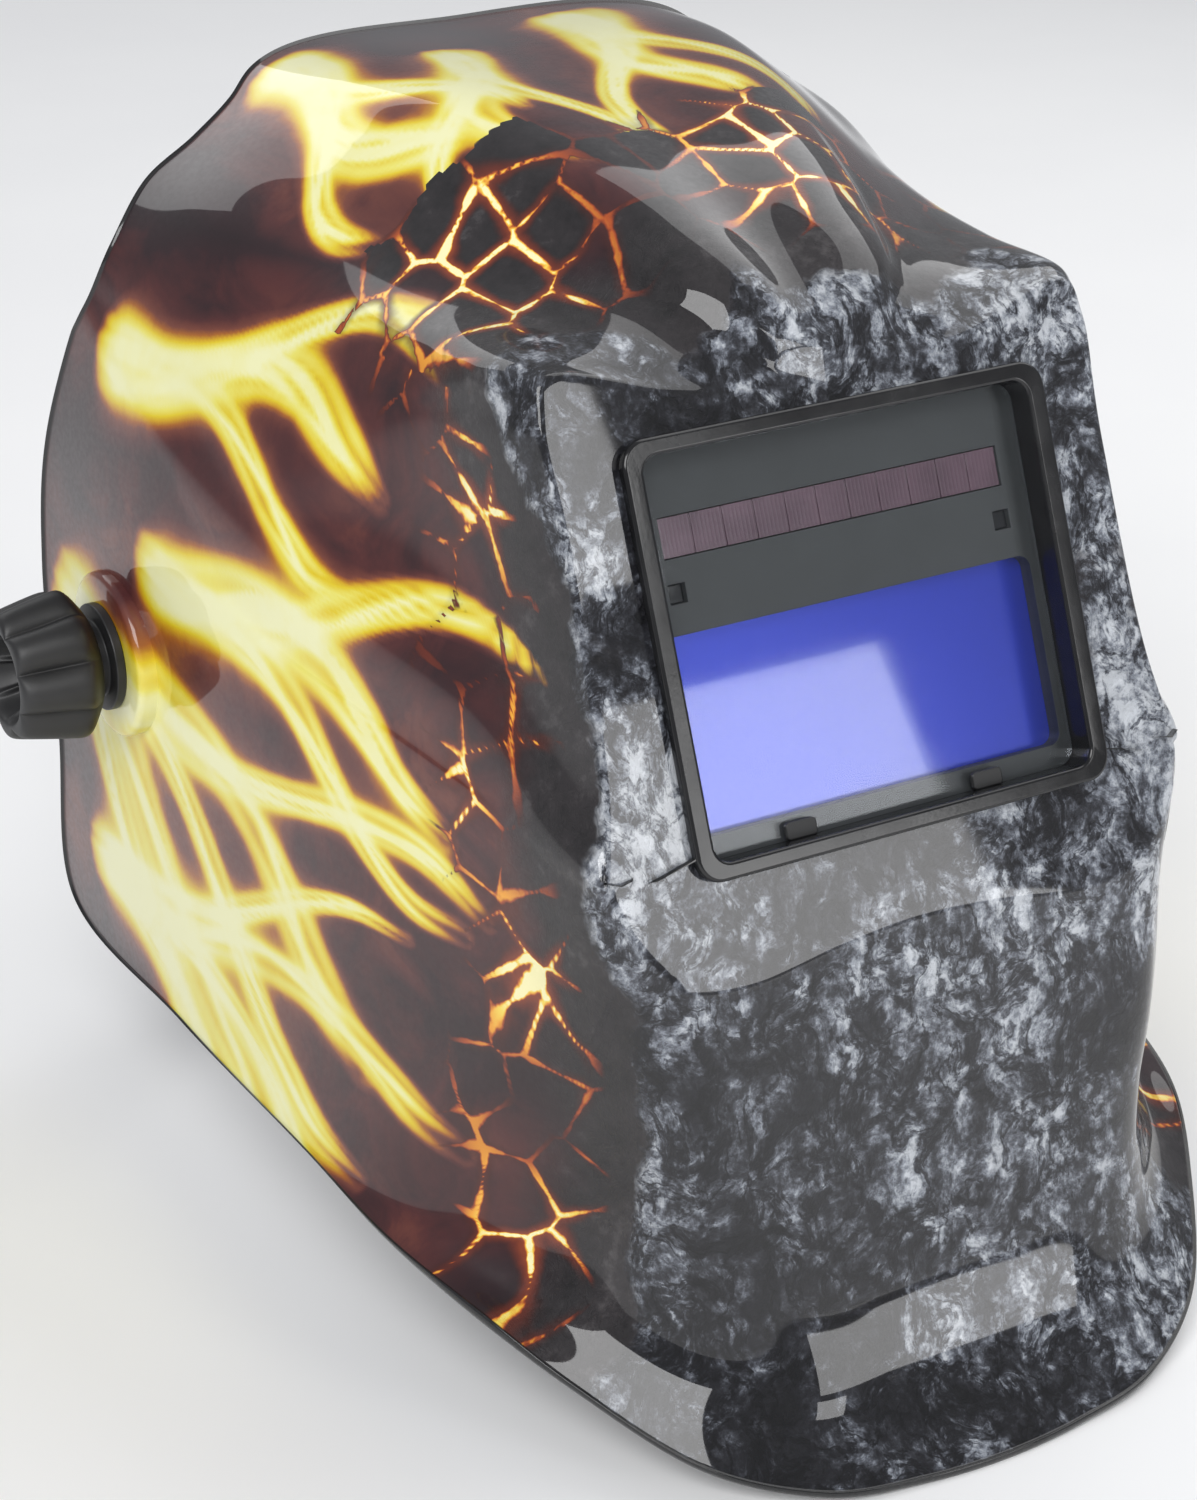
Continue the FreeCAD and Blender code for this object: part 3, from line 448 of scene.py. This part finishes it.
def paint_fields(points):
    """The painting as fields over the shell's points, in mm: heat, glow, cracks, stones and rock."""
    x, y, z = points.T
    side = smooth_step(np.abs(x), 58, 68) * (1 - smooth_step(z, CROWN_Z - 8, CROWN_Z + 4))
    crown = smooth_step(z, CROWN_Z - 8, CROWN_Z + 4)
    side_heat, side_glow = flame_fields(points[:, 1:], side, SIDE_BANDS, 5)
    crown_heat, crown_glow = flame_fields(points[:, :2], crown, CROWN_BANDS, 11)
    side_edge, brow_edge = np.interp(z, *zip(*ROCK_EDGE)), np.interp(np.abs(x), *zip(*BROW_EDGE))
    brow = (z > 60) & (np.abs(x) < BROW_EDGE[-1][0])
    rock = np.minimum(np.where(brow, brow_edge, side_edge) - y, 60)
    crown_crack, crown_stone = cracked(x, y, 3)
    side_crack, _ = cracked(y, z, 4)
    # stones lie on the front of the crown; cracks glow there and in front of the side flames
    stone_x, stone_y, luck = crown_stone.T
    chosen = (luck > 0.42) & (np.abs(stone_x) < 76) & (stone_y > 44) & (stone_y < 96) & (z > BROW_Z)
    broken = 0.5 + 0.5 * np.sin(y / 9.0 + 1.0) * np.sin(z / 11.0)
    side_band = smooth_step(-rock, 6, 14) * (1 - smooth_step(-rock, 34, 52)) * broken
    crown_band = smooth_step(y, 40, 52) * (1 - smooth_step(y, 92, 104)) * (0.55 + 0.45 * np.sin(x / 12.0))
    return {"fire": np.maximum(side_heat, crown_heat), "glow": np.maximum(side_glow, crown_glow),
            "crack": np.where(z > BROW_Z, crown_crack, side_crack),
            "crack_heat": np.clip(np.where(z > BROW_Z, crown_band, side_band), 0, 1),
            "stone": np.where(chosen, -crown_crack, 99.0), "rock": rock,
            # plate marks the flat front plate, whose rock tone is painted paler: painted light on that
            # face
            "plate": 1 - smooth_step(np.abs(z * LENS_S - y * LENS_C - PLATE_OUT), 1.0, 3.5)}


def set_field(obj, name, values):
    attribute = obj.data.attributes.new(name, "FLOAT", "POINT")
    attribute.data.foreach_set("value", np.asarray(values, np.float32))


def shell_paint():
    m = Nodes("shell_paint")
    heat, glow = m.attribute("fire"), m.attribute("glow")
    crack, crack_heat = m.attribute("crack"), m.attribute("crack_heat")
    stone, rock, rim = m.attribute("stone"), m.attribute("rock"), m.attribute("rim")
    # flames
    wisps = m.noise(34, 5, 0.6, None, 1.2)
    fine = m.noise(150, 4, 0.6, None, 0.6)
    warm = m.math("ADD", heat, m.math("MULTIPLY", m.math("SUBTRACT", wisps, 0.5), 0.22))
    warm = m.math("ADD", warm, m.math("MULTIPLY", m.math("SUBTRACT", fine, 0.5), 0.06))
    smoke = m.math("MULTIPLY", glow, m.span(wisps, 0.3, 0.7, 0.5, 1.0))
    warm = m.math("MAXIMUM", warm, m.math("MULTIPLY", smoke, 0.30))
    fire = m.ramp(warm, [
        (0.0, (0.008, 0.003, 0.005)), (0.10, (0.022, 0.006, 0.009)), (0.20, (0.075, 0.016, 0.016)),
        (0.30, (0.17, 0.045, 0.028)), (0.38, (0.38, 0.12, 0.014)), (0.48, (0.62, 0.34, 0.010)),
        (0.62, (0.76, 0.58, 0.018)), (0.80, (0.82, 0.75, 0.15)), (1.0, (0.87, 0.86, 0.50))])
    # black rock with thin hot cracks
    grain = m.noise(260, 6, 0.65)
    lumps = m.cells(70, "F1")
    coal = m.ramp(m.math("ADD", m.math("MULTIPLY", grain, 0.7), m.math("MULTIPLY", lumps, 0.35)), [
        (0.3, (0.006, 0.005, 0.006)), (0.62, (0.022, 0.018, 0.020)), (0.8, (0.075, 0.068, 0.07))])
    ragged = m.math("MULTIPLY", m.math("SUBTRACT", m.noise(120, 3), 0.5), 2.2)
    crack_mm = m.math("ADD", crack, ragged)
    core = m.span(crack_mm, 0.1, 0.85, 1.25, 0.0)
    halo = m.span(crack_mm, 0.2, 3.4, 1.0, 0.0)
    ember = m.math("MULTIPLY", m.math("MAXIMUM", core, m.math("MULTIPLY", halo, 0.3)), crack_heat)
    ember_colour = m.ramp(ember, [
        (0.0, (0.0, 0.0, 0.0)), (0.2, (0.12, 0.018, 0.008)), (0.4, (0.42, 0.075, 0.012)),
        (0.62, (0.85, 0.36, 0.03)), (0.82, (0.93, 0.70, 0.10)), (1.0, (0.96, 0.90, 0.5))])
    stone_edge = m.math("ADD", stone, ragged)
    on_stone = m.span(stone_edge, -0.5, 0.6, 1.0, 0.0)
    painted = m.mix(on_stone, fire, coal)
    # the dark band of rock between the flames and the grey rock
    rock_mm = m.math("ADD", rock, m.math("MULTIPLY", m.math("SUBTRACT", m.noise(42, 4, 0.6), 0.5), 22.0))
    dark_band = m.span(rock_mm, -30.0, -12.0)
    dark_band = m.math("MULTIPLY", dark_band, m.span(heat, 0.32, 0.5, 1.0, 0.0))
    painted = m.mix(dark_band, painted, coal)
    painted = m.mix(m.span(ember, 0.02, 0.2), painted, ember_colour)
    # the grey rock: facets, pits and pale crystalline ridges
    wobble = m.node("TexNoise", None, Vector=m.place(), Scale=45.0, Detail=4.0).outputs["Color"]
    push = m.node("VectorMath", {"operation": "SCALE"}, Scale=0.02)
    m.put(push.inputs[0], wobble)
    bent = m.node("VectorMath", {"operation": "ADD"})
    m.put(bent.inputs[0], m.place(1.0, (1.0, 1.0, 0.72)))
    m.put(bent.inputs[1], push.outputs[0])
    bent = bent.outputs[0]
    blocks = m.cells(62, "SMOOTH_F1", bent)
    chips = m.cells(190, "F1", bent)
    big = m.noise(17, 5, 0.62)
    mid = m.noise(105, 9, 0.74, bent, 0.7)
    grit = m.noise(520, 5, 0.72)
    veins = m.math("ABSOLUTE", m.math("SUBTRACT", m.noise(70, 7, 0.66, bent, 0.5), 0.5))
    veins = m.span(veins, 0.0, 0.045, 1.0, 0.0)
    height = m.math("ADD", m.math("MULTIPLY", blocks, 0.9), m.math("MULTIPLY", mid, 1.1))
    height = m.math("SUBTRACT", height, m.math("MULTIPLY", chips, 0.45))
    height = m.math("ADD", height, m.math("MULTIPLY", grit, 0.3))
    height = m.math("SUBTRACT", height, m.math("MULTIPLY", veins, 0.18))
    shade = m.math("ADD", m.math("MULTIPLY", mid, 0.9), m.math("MULTIPLY", grit, 0.5))
    shade = m.math("ADD", shade, m.math("MULTIPLY", m.math("SUBTRACT", big, 0.5), 0.95))
    shade = m.math("SUBTRACT", shade, m.math("MULTIPLY", chips, 0.22))
    shade = m.math("SUBTRACT", shade, m.math("MULTIPLY", veins, 0.13))
    shade = m.math("ADD", shade, m.span(rock_mm, 0.0, 14.0, 0.08, 0.02))
    # the front plate's rock painted paler: painted light for how light falls on that flat face
    shade = m.math("ADD", shade, m.math("MULTIPLY", m.attribute("plate"), 0.055))
    grey = m.ramp(shade, [
        (0.36, (0.004, 0.004, 0.006)), (0.51, (0.013, 0.013, 0.018)), (0.60, (0.038, 0.040, 0.050)),
        (0.67, (0.115, 0.124, 0.150)), (0.74, (0.30, 0.325, 0.375)), (0.84, (0.68, 0.71, 0.76))])
    on_rock = m.span(rock_mm, -1.5, 1.5)
    colour = m.mix(on_rock, painted, grey)
    colour = m.mix(rim, colour, (0.008, 0.008, 0.009))
    relief = m.math("MULTIPLY", height, m.math("MAXIMUM", on_rock, m.math("MULTIPLY", dark_band, 0.25)))
    bump = m.bump(relief, 0.0032, 0.9)
    dust = m.noise(600, 3, 0.6)
    wave = m.bump(m.noise(9, 2, 0.5), 0.0006, 0.25)
    return m.finish(colour, m.span(dust, 0.3, 0.7, 0.42, 0.55), bump, coat=1.0,
                    coat_rough=m.span(m.noise(14, 3), 0.35, 0.65, 0.025, 0.05), coat_normal=wave,
                    specular=0.25)


# ---- plain plastics, metals, cloth ---------------------------------------------------
def moulded(name, colour, rough, grain=700, depth=0.00006, spread=0.25):
    """Moulded plastic: fine spark-eroded grain, slight mottling and softly worn high spots."""
    m = Nodes(name)
    mottle = m.noise(30, 4, 0.6)
    fine = m.noise(grain, 3, 0.6)
    dark = tuple(c * (1 - spread) for c in colour)
    pale = tuple(min(1.0, c * (1 + spread) + 0.004) for c in colour)
    tint = m.mix(m.span(mottle, 0.3, 0.7), dark, pale)
    scuff = m.span(m.noise(90, 6, 0.7), 0.62, 0.72)
    tint = m.mix(m.math("MULTIPLY", scuff, 0.18), tint, tuple(min(1.0, c * 1.8 + 0.02) for c in colour))
    bump = m.bump(fine, depth, 0.6)
    return m.finish(tint, m.span(mottle, 0.3, 0.7, rough - 0.05, rough + 0.07), bump)


def brushed_steel():
    m = Nodes("steel")
    lines = m.noise(300, 4, 0.6, m.place(1.0, (1, 14, 14)))
    colour = m.mix(m.span(lines, 0.3, 0.7), (0.42, 0.42, 0.44), (0.66, 0.66, 0.67))
    return m.finish(colour, m.span(lines, 0.3, 0.7, 0.22, 0.4), m.bump(lines, 0.00003, 0.5), metal=1.0)


def woven_cloth(name, colour):
    m = Nodes(name)
    warp = m.node("TexWave", {"bands_direction": "X"}, Vector=m.place(), Scale=420.0, Distortion=0.6,
                  Detail=1.0).outputs["Fac"]
    weft = m.node("TexWave", {"bands_direction": "Z"}, Vector=m.place(), Scale=420.0, Distortion=0.6,
                  Detail=1.0).outputs["Fac"]
    weave = m.math("MAXIMUM", warp, weft)
    fuzz = m.noise(900, 3, 0.7)
    soft = m.noise(22, 4, 0.6)
    tint = m.mix(m.span(soft, 0.3, 0.7), tuple(c * 0.75 for c in colour), tuple(c * 1.3 for c in colour))
    tint = m.mix(m.math("MULTIPLY", fuzz, 0.25), tint, tuple(min(1, c * 2.4 + 0.02) for c in colour))
    height = m.math("ADD", weave, m.math("MULTIPLY", fuzz, 0.5))
    return m.finish(tint, 0.9, m.bump(height, 0.0003, 0.7), sheen=0.35, specular=0.2)


def clear_lens():
    m = Nodes("clear_lens")
    haze = m.noise(12, 3, 0.6)
    gloss = m.span(haze, 0.3, 0.7, 0.02, 0.05)
    glossy = m.node("BsdfGlossy", None, Color=(0.85, 0.87, 0.9), Roughness=gloss)
    clear = m.node("BsdfTransparent", None, Color=(0.95, 0.96, 0.965))
    edge = m.node("Fresnel", None, IOR=1.45).outputs[0]
    scuff = m.span(m.noise(240, 5, 0.7), 0.66, 0.78)
    factor = m.math("ADD", m.math("MULTIPLY", edge, 0.6), m.math("MULTIPLY", scuff, 0.012), clamp=True)
    both = m.node("MixShader")
    m.put(both.inputs[0], factor)
    m.tree.links.new(clear.outputs[0], both.inputs[1])
    m.tree.links.new(glossy.outputs[0], both.inputs[2])
    m.tree.links.new(both.outputs[0], m.out.inputs["Surface"])
    return m.mat


def filter_glass():
    """The coated filter: deep blue, with a faint violet turn towards the edges and a faint painted glow of
    its own blue.
    """
    m = Nodes("filter_glass")
    facing = m.node("LayerWeight", None, Blend=0.35).outputs["Facing"]
    drift = m.noise(16, 3, 0.6)
    colour = m.ramp(m.math("ADD", facing, m.math("MULTIPLY", m.math("SUBTRACT", drift, 0.5), 0.12)),
                    [(0.0, (0.018, 0.040, 0.48)), (0.35, (0.035, 0.065, 0.58)), (0.8, (0.11, 0.10, 0.58))])
    # the emission is a painted glow of the filter's blue, though the glass is no lamp
    return m.finish(colour, 0.22, None, metal=0.35, coat=1.0, coat_rough=0.02,
                    coat_normal=m.bump(m.noise(30, 2), 0.0001, 0.1), emission=colour, glow=0.05)


def solar_cells():
    m = Nodes("solar")
    lines = m.node("TexWave", {"bands_direction": "X", "wave_profile": "SIN"}, Vector=m.place(),
                   Scale=310.0, Distortion=0.0).outputs["Fac"]
    streak = m.span(lines, 0.86, 0.98)
    tint = m.mix(m.span(m.noise(80, 4), 0.3, 0.7), (0.105, 0.050, 0.075), (0.165, 0.085, 0.120))
    tint = m.mix(m.math("MULTIPLY", streak, 0.35), tint, (0.24, 0.16, 0.19))
    return m.finish(tint, 0.28, m.bump(lines, 0.00003, 0.3), coat=0.6, coat_rough=0.05)


def circuit_green():
    m = Nodes("board_green")
    traces = m.cells(260, "DISTANCE_TO_EDGE")
    tint = m.mix(m.span(traces, 0.03, 0.06), (0.16, 0.22, 0.06), (0.012, 0.085, 0.03))
    return m.finish(tint, 0.35, m.bump(traces, 0.0001, 0.5), coat=0.3)


MATERIALS = {
    "shell_paint": shell_paint(),
    "black_gloss": moulded("black_gloss", (0.010, 0.010, 0.011), 0.16, 900, 0.00002),
    "black_matte": moulded("black_matte", (0.020, 0.020, 0.021), 0.46),
    "grey_housing": moulded("grey_housing", (0.062, 0.065, 0.067), 0.52, 800, 0.00005, 0.12),
    "clear_lens": clear_lens(),
    "filter_glass": filter_glass(),
    "solar": solar_cells(),
    "sensor": moulded("sensor", (0.006, 0.006, 0.008), 0.12, 900, 0.00001),
    "board_green": circuit_green(),
    "steel": brushed_steel(),
    "sweat_cloth": woven_cloth("sweat_cloth", (0.030, 0.030, 0.033)),
    "dial_red": moulded("dial_red", (0.30, 0.02, 0.02), 0.4),
}
SLOT_OF = {part["node"]: part["material_slot"] for part in frame["record"]["subparts"]}
BODY_OF = {node: body for body, nodes in frame["record"]["behaviour"]["bodies"].items() for node in nodes}


def finish_piece(obj, node):
    """Gives a finished piece the material of its node's slot and hides the CAD node it stands for."""
    obj.data.materials.clear()
    obj.data.materials.append(MATERIALS[SLOT_OF[node]])
    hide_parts(node)


def dress(obj, node):
    """The same, and the piece rides on that node's body."""
    finish_piece(obj, node)
    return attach(obj, BODY_OF[node])


# ---- the shell piece -----------------------------------------------------------------
SKIN_X = 107.5              # where a boss drum passes through the side wall
BEAD_STEPS = 12
BEAD_PROUD = 0.75           # how far the rim's bead stands out of the skin


def build_shell():
    grid = emboss(shell_grid(1.0))
    normals = grid_normals(grid)
    rows, cols = grid.shape[:2]
    # a rolled bead round the rim, then the inner skin back up to the lens opening
    last, out = grid[-1], normals[-1]
    down = grid[-1] - grid[-2]
    down /= np.linalg.norm(down, axis=1, keepdims=True)
    bead = []
    for k in range(1, BEAD_STEPS):
        a = math.pi * k / BEAD_STEPS
        across = (WALL / 2 + BEAD_PROUD) * math.cos(a) - WALL / 2
        bead.append(last + out * across + down * (1.5 * math.sin(a) - 0.2))
    inner = (grid - normals * WALL)[::-1][::3]
    if (rows - 1) % 3:
        inner = np.concatenate([inner, (grid - normals * WALL)[:1]])
    everything = np.concatenate([grid, np.array(bead), inner])
    rim = np.zeros(everything.shape[:2])
    rim[rows - 1:] = 1
    faces = [ring_faces(len(everything), cols)]
    rim = [rim.reshape(-1)]
    points = [everything.reshape(-1, 3)]
    # the two drums that the pivot bolts pass through
    profile = [(104.9, 20.9), (SKIN_X - 0.1, 21.0), (SKIN_X + 0.1, 21.0), (113.4, 21.0),
               (114.3, 20.8), (114.9, 20.2), (115.2, 19.3), (115.2, 15.0), (115.2, 3.2)]
    _, pivot_y, pivot_z = PIVOT - WINDOW
    turns = 96
    for side in (-1, 1):
        drum = []
        for x, r in profile:
            for k in range(turns):
                c, s = math.cos(2 * math.pi * k / turns), math.sin(2 * math.pi * k / turns)
                drum.append((side * x, pivot_y + r * c, pivot_z + r * s))
        first = sum(len(p) for p in points)
        quads = ring_faces(len(profile), turns, first)
        points.append(np.array(drum))
        faces.append(quads if side < 0 else quads[:, ::-1])
        rim.append(np.repeat([float(x < SKIN_X) for x, _ in profile], turns))
    points = np.concatenate(points)
    obj = mesh_object("shell_painted", (points + WINDOW) * MM, np.concatenate(faces))
    for name, values in paint_fields(points).items():
        set_field(obj, name, values)
    set_field(obj, "rim", np.concatenate(rim))
    bm = bmesh.new()
    bm.from_mesh(obj.data)
    bmesh.ops.recalc_face_normals(bm, faces=bm.faces)
    bm.to_mesh(obj.data)
    bm.free()
    return dress(obj, "shell")


def softened(node, bevel=0.0004):
    """A copy of a CAD piece with its seams merged, flat faces joined and edges rounded."""
    bm = bmesh.new()
    bm.from_mesh(frame["nodes"][node].data)
    bmesh.ops.remove_doubles(bm, verts=bm.verts, dist=1e-6)
    bmesh.ops.dissolve_limit(bm, angle_limit=math.radians(1.0), verts=bm.verts, edges=bm.edges)
    mesh = bpy.data.meshes.new(node + "_look")
    bm.to_mesh(mesh)
    bm.free()
    obj = bpy.data.objects.new(node + "_look", mesh)
    bpy.context.scene.collection.objects.link(obj)
    mesh.polygons.foreach_set("use_smooth", [True] * len(mesh.polygons))
    edge = obj.modifiers.new("edges", "BEVEL")
    edge.width, edge.segments, edge.limit_method = bevel, 3, "ANGLE"
    edge.angle_limit = math.radians(32)
    edge.harden_normals = False
    edge.use_clamp_overlap = True
    weigh = obj.modifiers.new("normals", "WEIGHTED_NORMAL")
    weigh.keep_sharp = False
    if node.startswith("band_corner"):       # the real band corners bend as the nape unit slides; here they ride on no body and keep a baked place
        finish_piece(obj, node)
        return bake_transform(obj)
    return dress(obj, node)


# ---- the side knobs ----------------------------------------------------------------
KNOB_BACK = 120.7           # from the helmet's middle plane to the knob's back


def build_knob(side):
    """The fluted hand knob: eight lobes, a rolled front edge and a ribbed hollow with a stud."""
    turns = 256
    # distance along the axis from the knob's back, radius, depth of the flutes, depth of the ribs
    profile = [(0.0, 5.0, 0, 0), (0.0, 12.6, 0, 0), (0.35, 13.6, 0.0, 0), (1.2, 14.9, 0.2, 0),
               (3.2, 17.8, 1.6, 0), (4.6, 19.1, 2.6, 0), (6.0, 19.5, 3.1, 0), (9.5, 18.9, 3.5, 0),
               (14.0, 18.0, 3.6, 0),
               (18.0, 17.1, 3.4, 0), (20.2, 16.5, 3.1, 0), (21.2, 15.9, 2.7, 0), (21.8, 15.1, 2.2, 0),
               (22.0, 14.1, 1.4, 0), (22.0, 12.6, 0.5, 0), (21.7, 11.9, 0.0, 0), (21.0, 11.5, 0, 0.2),
               (19.0, 10.9, 0, 1.0), (16.0, 10.0, 0, 1.4), (14.0, 9.0, 0, 1.6), (13.2, 8.0, 0, 1.0),
               (13.0, 6.6, 0, 0.3), (13.0, 5.0, 0, 0), (13.4, 4.7, 0, 0), (16.0, 4.6, 0, 0),
               (16.4, 4.3, 0, 0), (16.5, 3.6, 0, 0), (16.3, 2.6, 0, 0),
               (15.4, 2.3, 0, 0), (15.4, 0.4, 0, 0)]
    points = []
    for x, r, flute, rib in profile:
        for k in range(turns):
            a = 2 * math.pi * k / turns
            lobe = abs(math.cos(4 * a)) ** 0.75
            radius = r - flute * (1 - lobe)
            radius -= rib * max(0.0, math.cos(8 * a)) ** 6
            points.append((side * (KNOB_BACK + x) * MM, (PIVOT[1] + radius * math.cos(a)) * MM,
                           (PIVOT[2] + radius * math.sin(a)) * MM))
    quads = ring_faces(len(profile), turns)
    word = "left" if side > 0 else "right"
    obj = mesh_object("tension_knob_" + word + "_fluted", points, quads[:, ::-1] if side > 0 else quads)
    smooth = obj.modifiers.new("smooth", "SUBSURF")
    smooth.levels = smooth.render_levels = 1
    return dress(obj, "tension_knob_" + word)


# ---- padded cloth --------------------------------------------------------------------
def puffed(node, name, voxel, pinned, pressure, cap):
    """Cloth over foam: the CAD pad remeshed, blown up a little with its back edge held, and smoothed."""
    bm = bmesh.new()
    bm.from_mesh(frame["nodes"][node].data)
    bmesh.ops.remove_doubles(bm, verts=bm.verts, dist=1e-6)
    mesh = bpy.data.meshes.new(name)
    bm.to_mesh(mesh)
    bm.free()
    obj = bpy.data.objects.new(name, mesh)
    bpy.context.scene.collection.objects.link(obj)
    remesh = obj.modifiers.new("voxels", "REMESH")
    remesh.mode, remesh.voxel_size = "VOXEL", voxel
    graph = bpy.context.evaluated_depsgraph_get()
    obj.data = bpy.data.meshes.new_from_object(obj.evaluated_get(graph))
    obj.modifiers.clear()
    rest = np.zeros(len(obj.data.vertices) * 3)
    obj.data.vertices.foreach_get("co", rest)
    rest = rest.reshape(-1, 3)
    held = pinned(rest)
    group = obj.vertex_groups.new(name="held")
    for index in np.flatnonzero(held):
        group.add([int(index)], 1.0, "REPLACE")
    cloth = obj.modifiers.new("cloth", "CLOTH")
    cloth.settings.vertex_group_mass = "held"
    cloth.settings.use_pressure = True
    cloth.settings.uniform_pressure_force = pressure
    cloth.settings.effector_weights.gravity = 0
    cloth.settings.mass = 0.2
    cloth.settings.quality = 6
    cloth.settings.tension_stiffness = cloth.settings.compression_stiffness = 12
    cloth.settings.bending_stiffness = 0.6
    cloth.point_cache.frame_start, cloth.point_cache.frame_end = 1, 20
    scene = bpy.context.scene
    for number in range(1, 21):
        scene.frame_set(number)
    shaped = obj.evaluated_get(bpy.context.evaluated_depsgraph_get())
    moved = np.zeros(len(rest) * 3)
    shaped.data.vertices.foreach_get("co", moved)
    moved = moved.reshape(-1, 3) - rest
    far = np.linalg.norm(moved, axis=1, keepdims=True)
    moved *= np.minimum(1, cap / np.maximum(far, 1e-9))
    obj.modifiers.clear()
    scene.frame_set(1)
    obj.data.vertices.foreach_set("co", (rest + moved).ravel())
    obj.data.update()
    obj.data.polygons.foreach_set("use_smooth", [True] * len(obj.data.polygons))
    smooth = obj.modifiers.new("smooth", "SUBSURF")
    smooth.levels = smooth.render_levels = 1
    dress(obj, node)
    return obj


def band_local(points):
    """s and n of points in metres, in mm from the tilt axis, in the headband's own axes."""
    off = points / MM - PIVOT
    s, c = math.sin(BAND_TILT), math.cos(BAND_TILT)
    return off[:, 1] * c - off[:, 2] * s, off[:, 1] * s + off[:, 2] * c


def sweatband_edges(points):
    """The sewn edges of the sweatband."""
    _, n = band_local(points)
    return np.abs(n) > 13.0


def nape_back(points):
    """Where the nape pad is fixed to the ratchet."""
    s, _ = band_local(points)
    return s > 101.5


# ---- build ---------------------------------------------------------------------------
build_shell()
for word, side in (("left", 1), ("right", -1)):
    build_knob(side)
puffed("sweatband", "sweatband_cloth", 0.0035, sweatband_edges, 4.0, 0.0016)
puffed("nape_pad", "nape_pad_cloth", 0.004, nape_back, 4.0, 0.003)
DONE = {"shell", "tension_knob_left", "tension_knob_right", "sweatband", "nape_pad"}
PLAIN = {"front_cover_lens", "lcd_filter", "circuit_board", "inside_cover_lens"}
BEVELS = {"lens_frame": 0.0009, "cartridge_front": 0.0006, "outer_washer_left": 0.0005,
          "outer_washer_right": 0.0005, "solar_cell": 0.0001, "arc_sensors": 0.0002, "nape_knob": 0.0007,
          "ratchet_housing": 0.001, "ratchet_cover": 0.0004, "cartridge_latch": 0.0001}
for node in sorted(frame["nodes"]):
    if node in DONE:
        continue
    if node in PLAIN:
        obj = frame["nodes"][node]
        obj.data.materials.clear()
        obj.data.materials.append(MATERIALS[SLOT_OF[node]])
        continue
    softened(node, BEVELS.get(node, 0.0004))


# ---- stage ---------------------------------------------------------------------------
def floor():
    obj = mesh_object("floor", [(-6, -6, 0), (6, -6, 0), (6, 6, 0), (-6, 6, 0)], [(0, 1, 2, 3)], False)
    m = Nodes("floor_paper")
    tone = m.mix(m.span(m.noise(5, 3), 0.3, 0.7), (0.93, 0.93, 0.935), (0.95, 0.95, 0.952))
    obj.data.materials.append(m.finish(tone, 0.7, specular=0.1))


def softbox(name, at, aim, width, height, power, colour=(1, 1, 1)):
    light = bpy.data.lights.new(name, "AREA")
    light.shape, light.size, light.size_y = "RECTANGLE", width, height
    light.energy, light.color = power, colour
    obj = bpy.data.objects.new(name, light)
    bpy.context.scene.collection.objects.link(obj)
    obj.location = at
    obj.rotation_euler = (Vector(aim) - Vector(at)).to_track_quat("-Z", "Y").to_euler()
    return obj


floor()
MIDDLE = (0.0, 0.0, 0.14)
softbox("key_box", (-1.5, -1.6, 1.9), MIDDLE, 1.9, 1.5, 56)
softbox("brow_box", (0.85, 0.15, 1.25), (0, -0.05, 0.22), 1.4, 1.2, 9)
softbox("front_box", (0.73, -1.6, 0.33), (0.73, 0, 0.33), 0.50, 0.52, 3.6)
softbox("cheek_box", (0.62, -1.6, 0.86), (0.62, 0, 0.86), 0.40, 0.36, 2.2)
softbox("rear_box", (-0.4, 1.8, 1.5), MIDDLE, 1.4, 0.9, 7)
world = bpy.data.worlds.new("studio")
bpy.context.scene.world = world
world.use_nodes = True
world.node_tree.nodes["Background"].inputs["Color"].default_value = (0.80, 0.82, 0.86, 1)
world.node_tree.nodes["Background"].inputs["Strength"].default_value = 0.35

camera = bpy.data.cameras.new("camera")
camera.sensor_width, camera.lens = 36.0, 82.8
eye = bpy.data.objects.new("camera", camera)
bpy.context.scene.collection.objects.link(eye)
eye.location = (-0.4025, -0.67146, 0.48392)
eye.rotation_euler = (math.radians(64.5), 0, math.radians(-30.2))
bpy.context.scene.camera = eye
bpy.context.scene.view_settings.view_transform = "Standard"
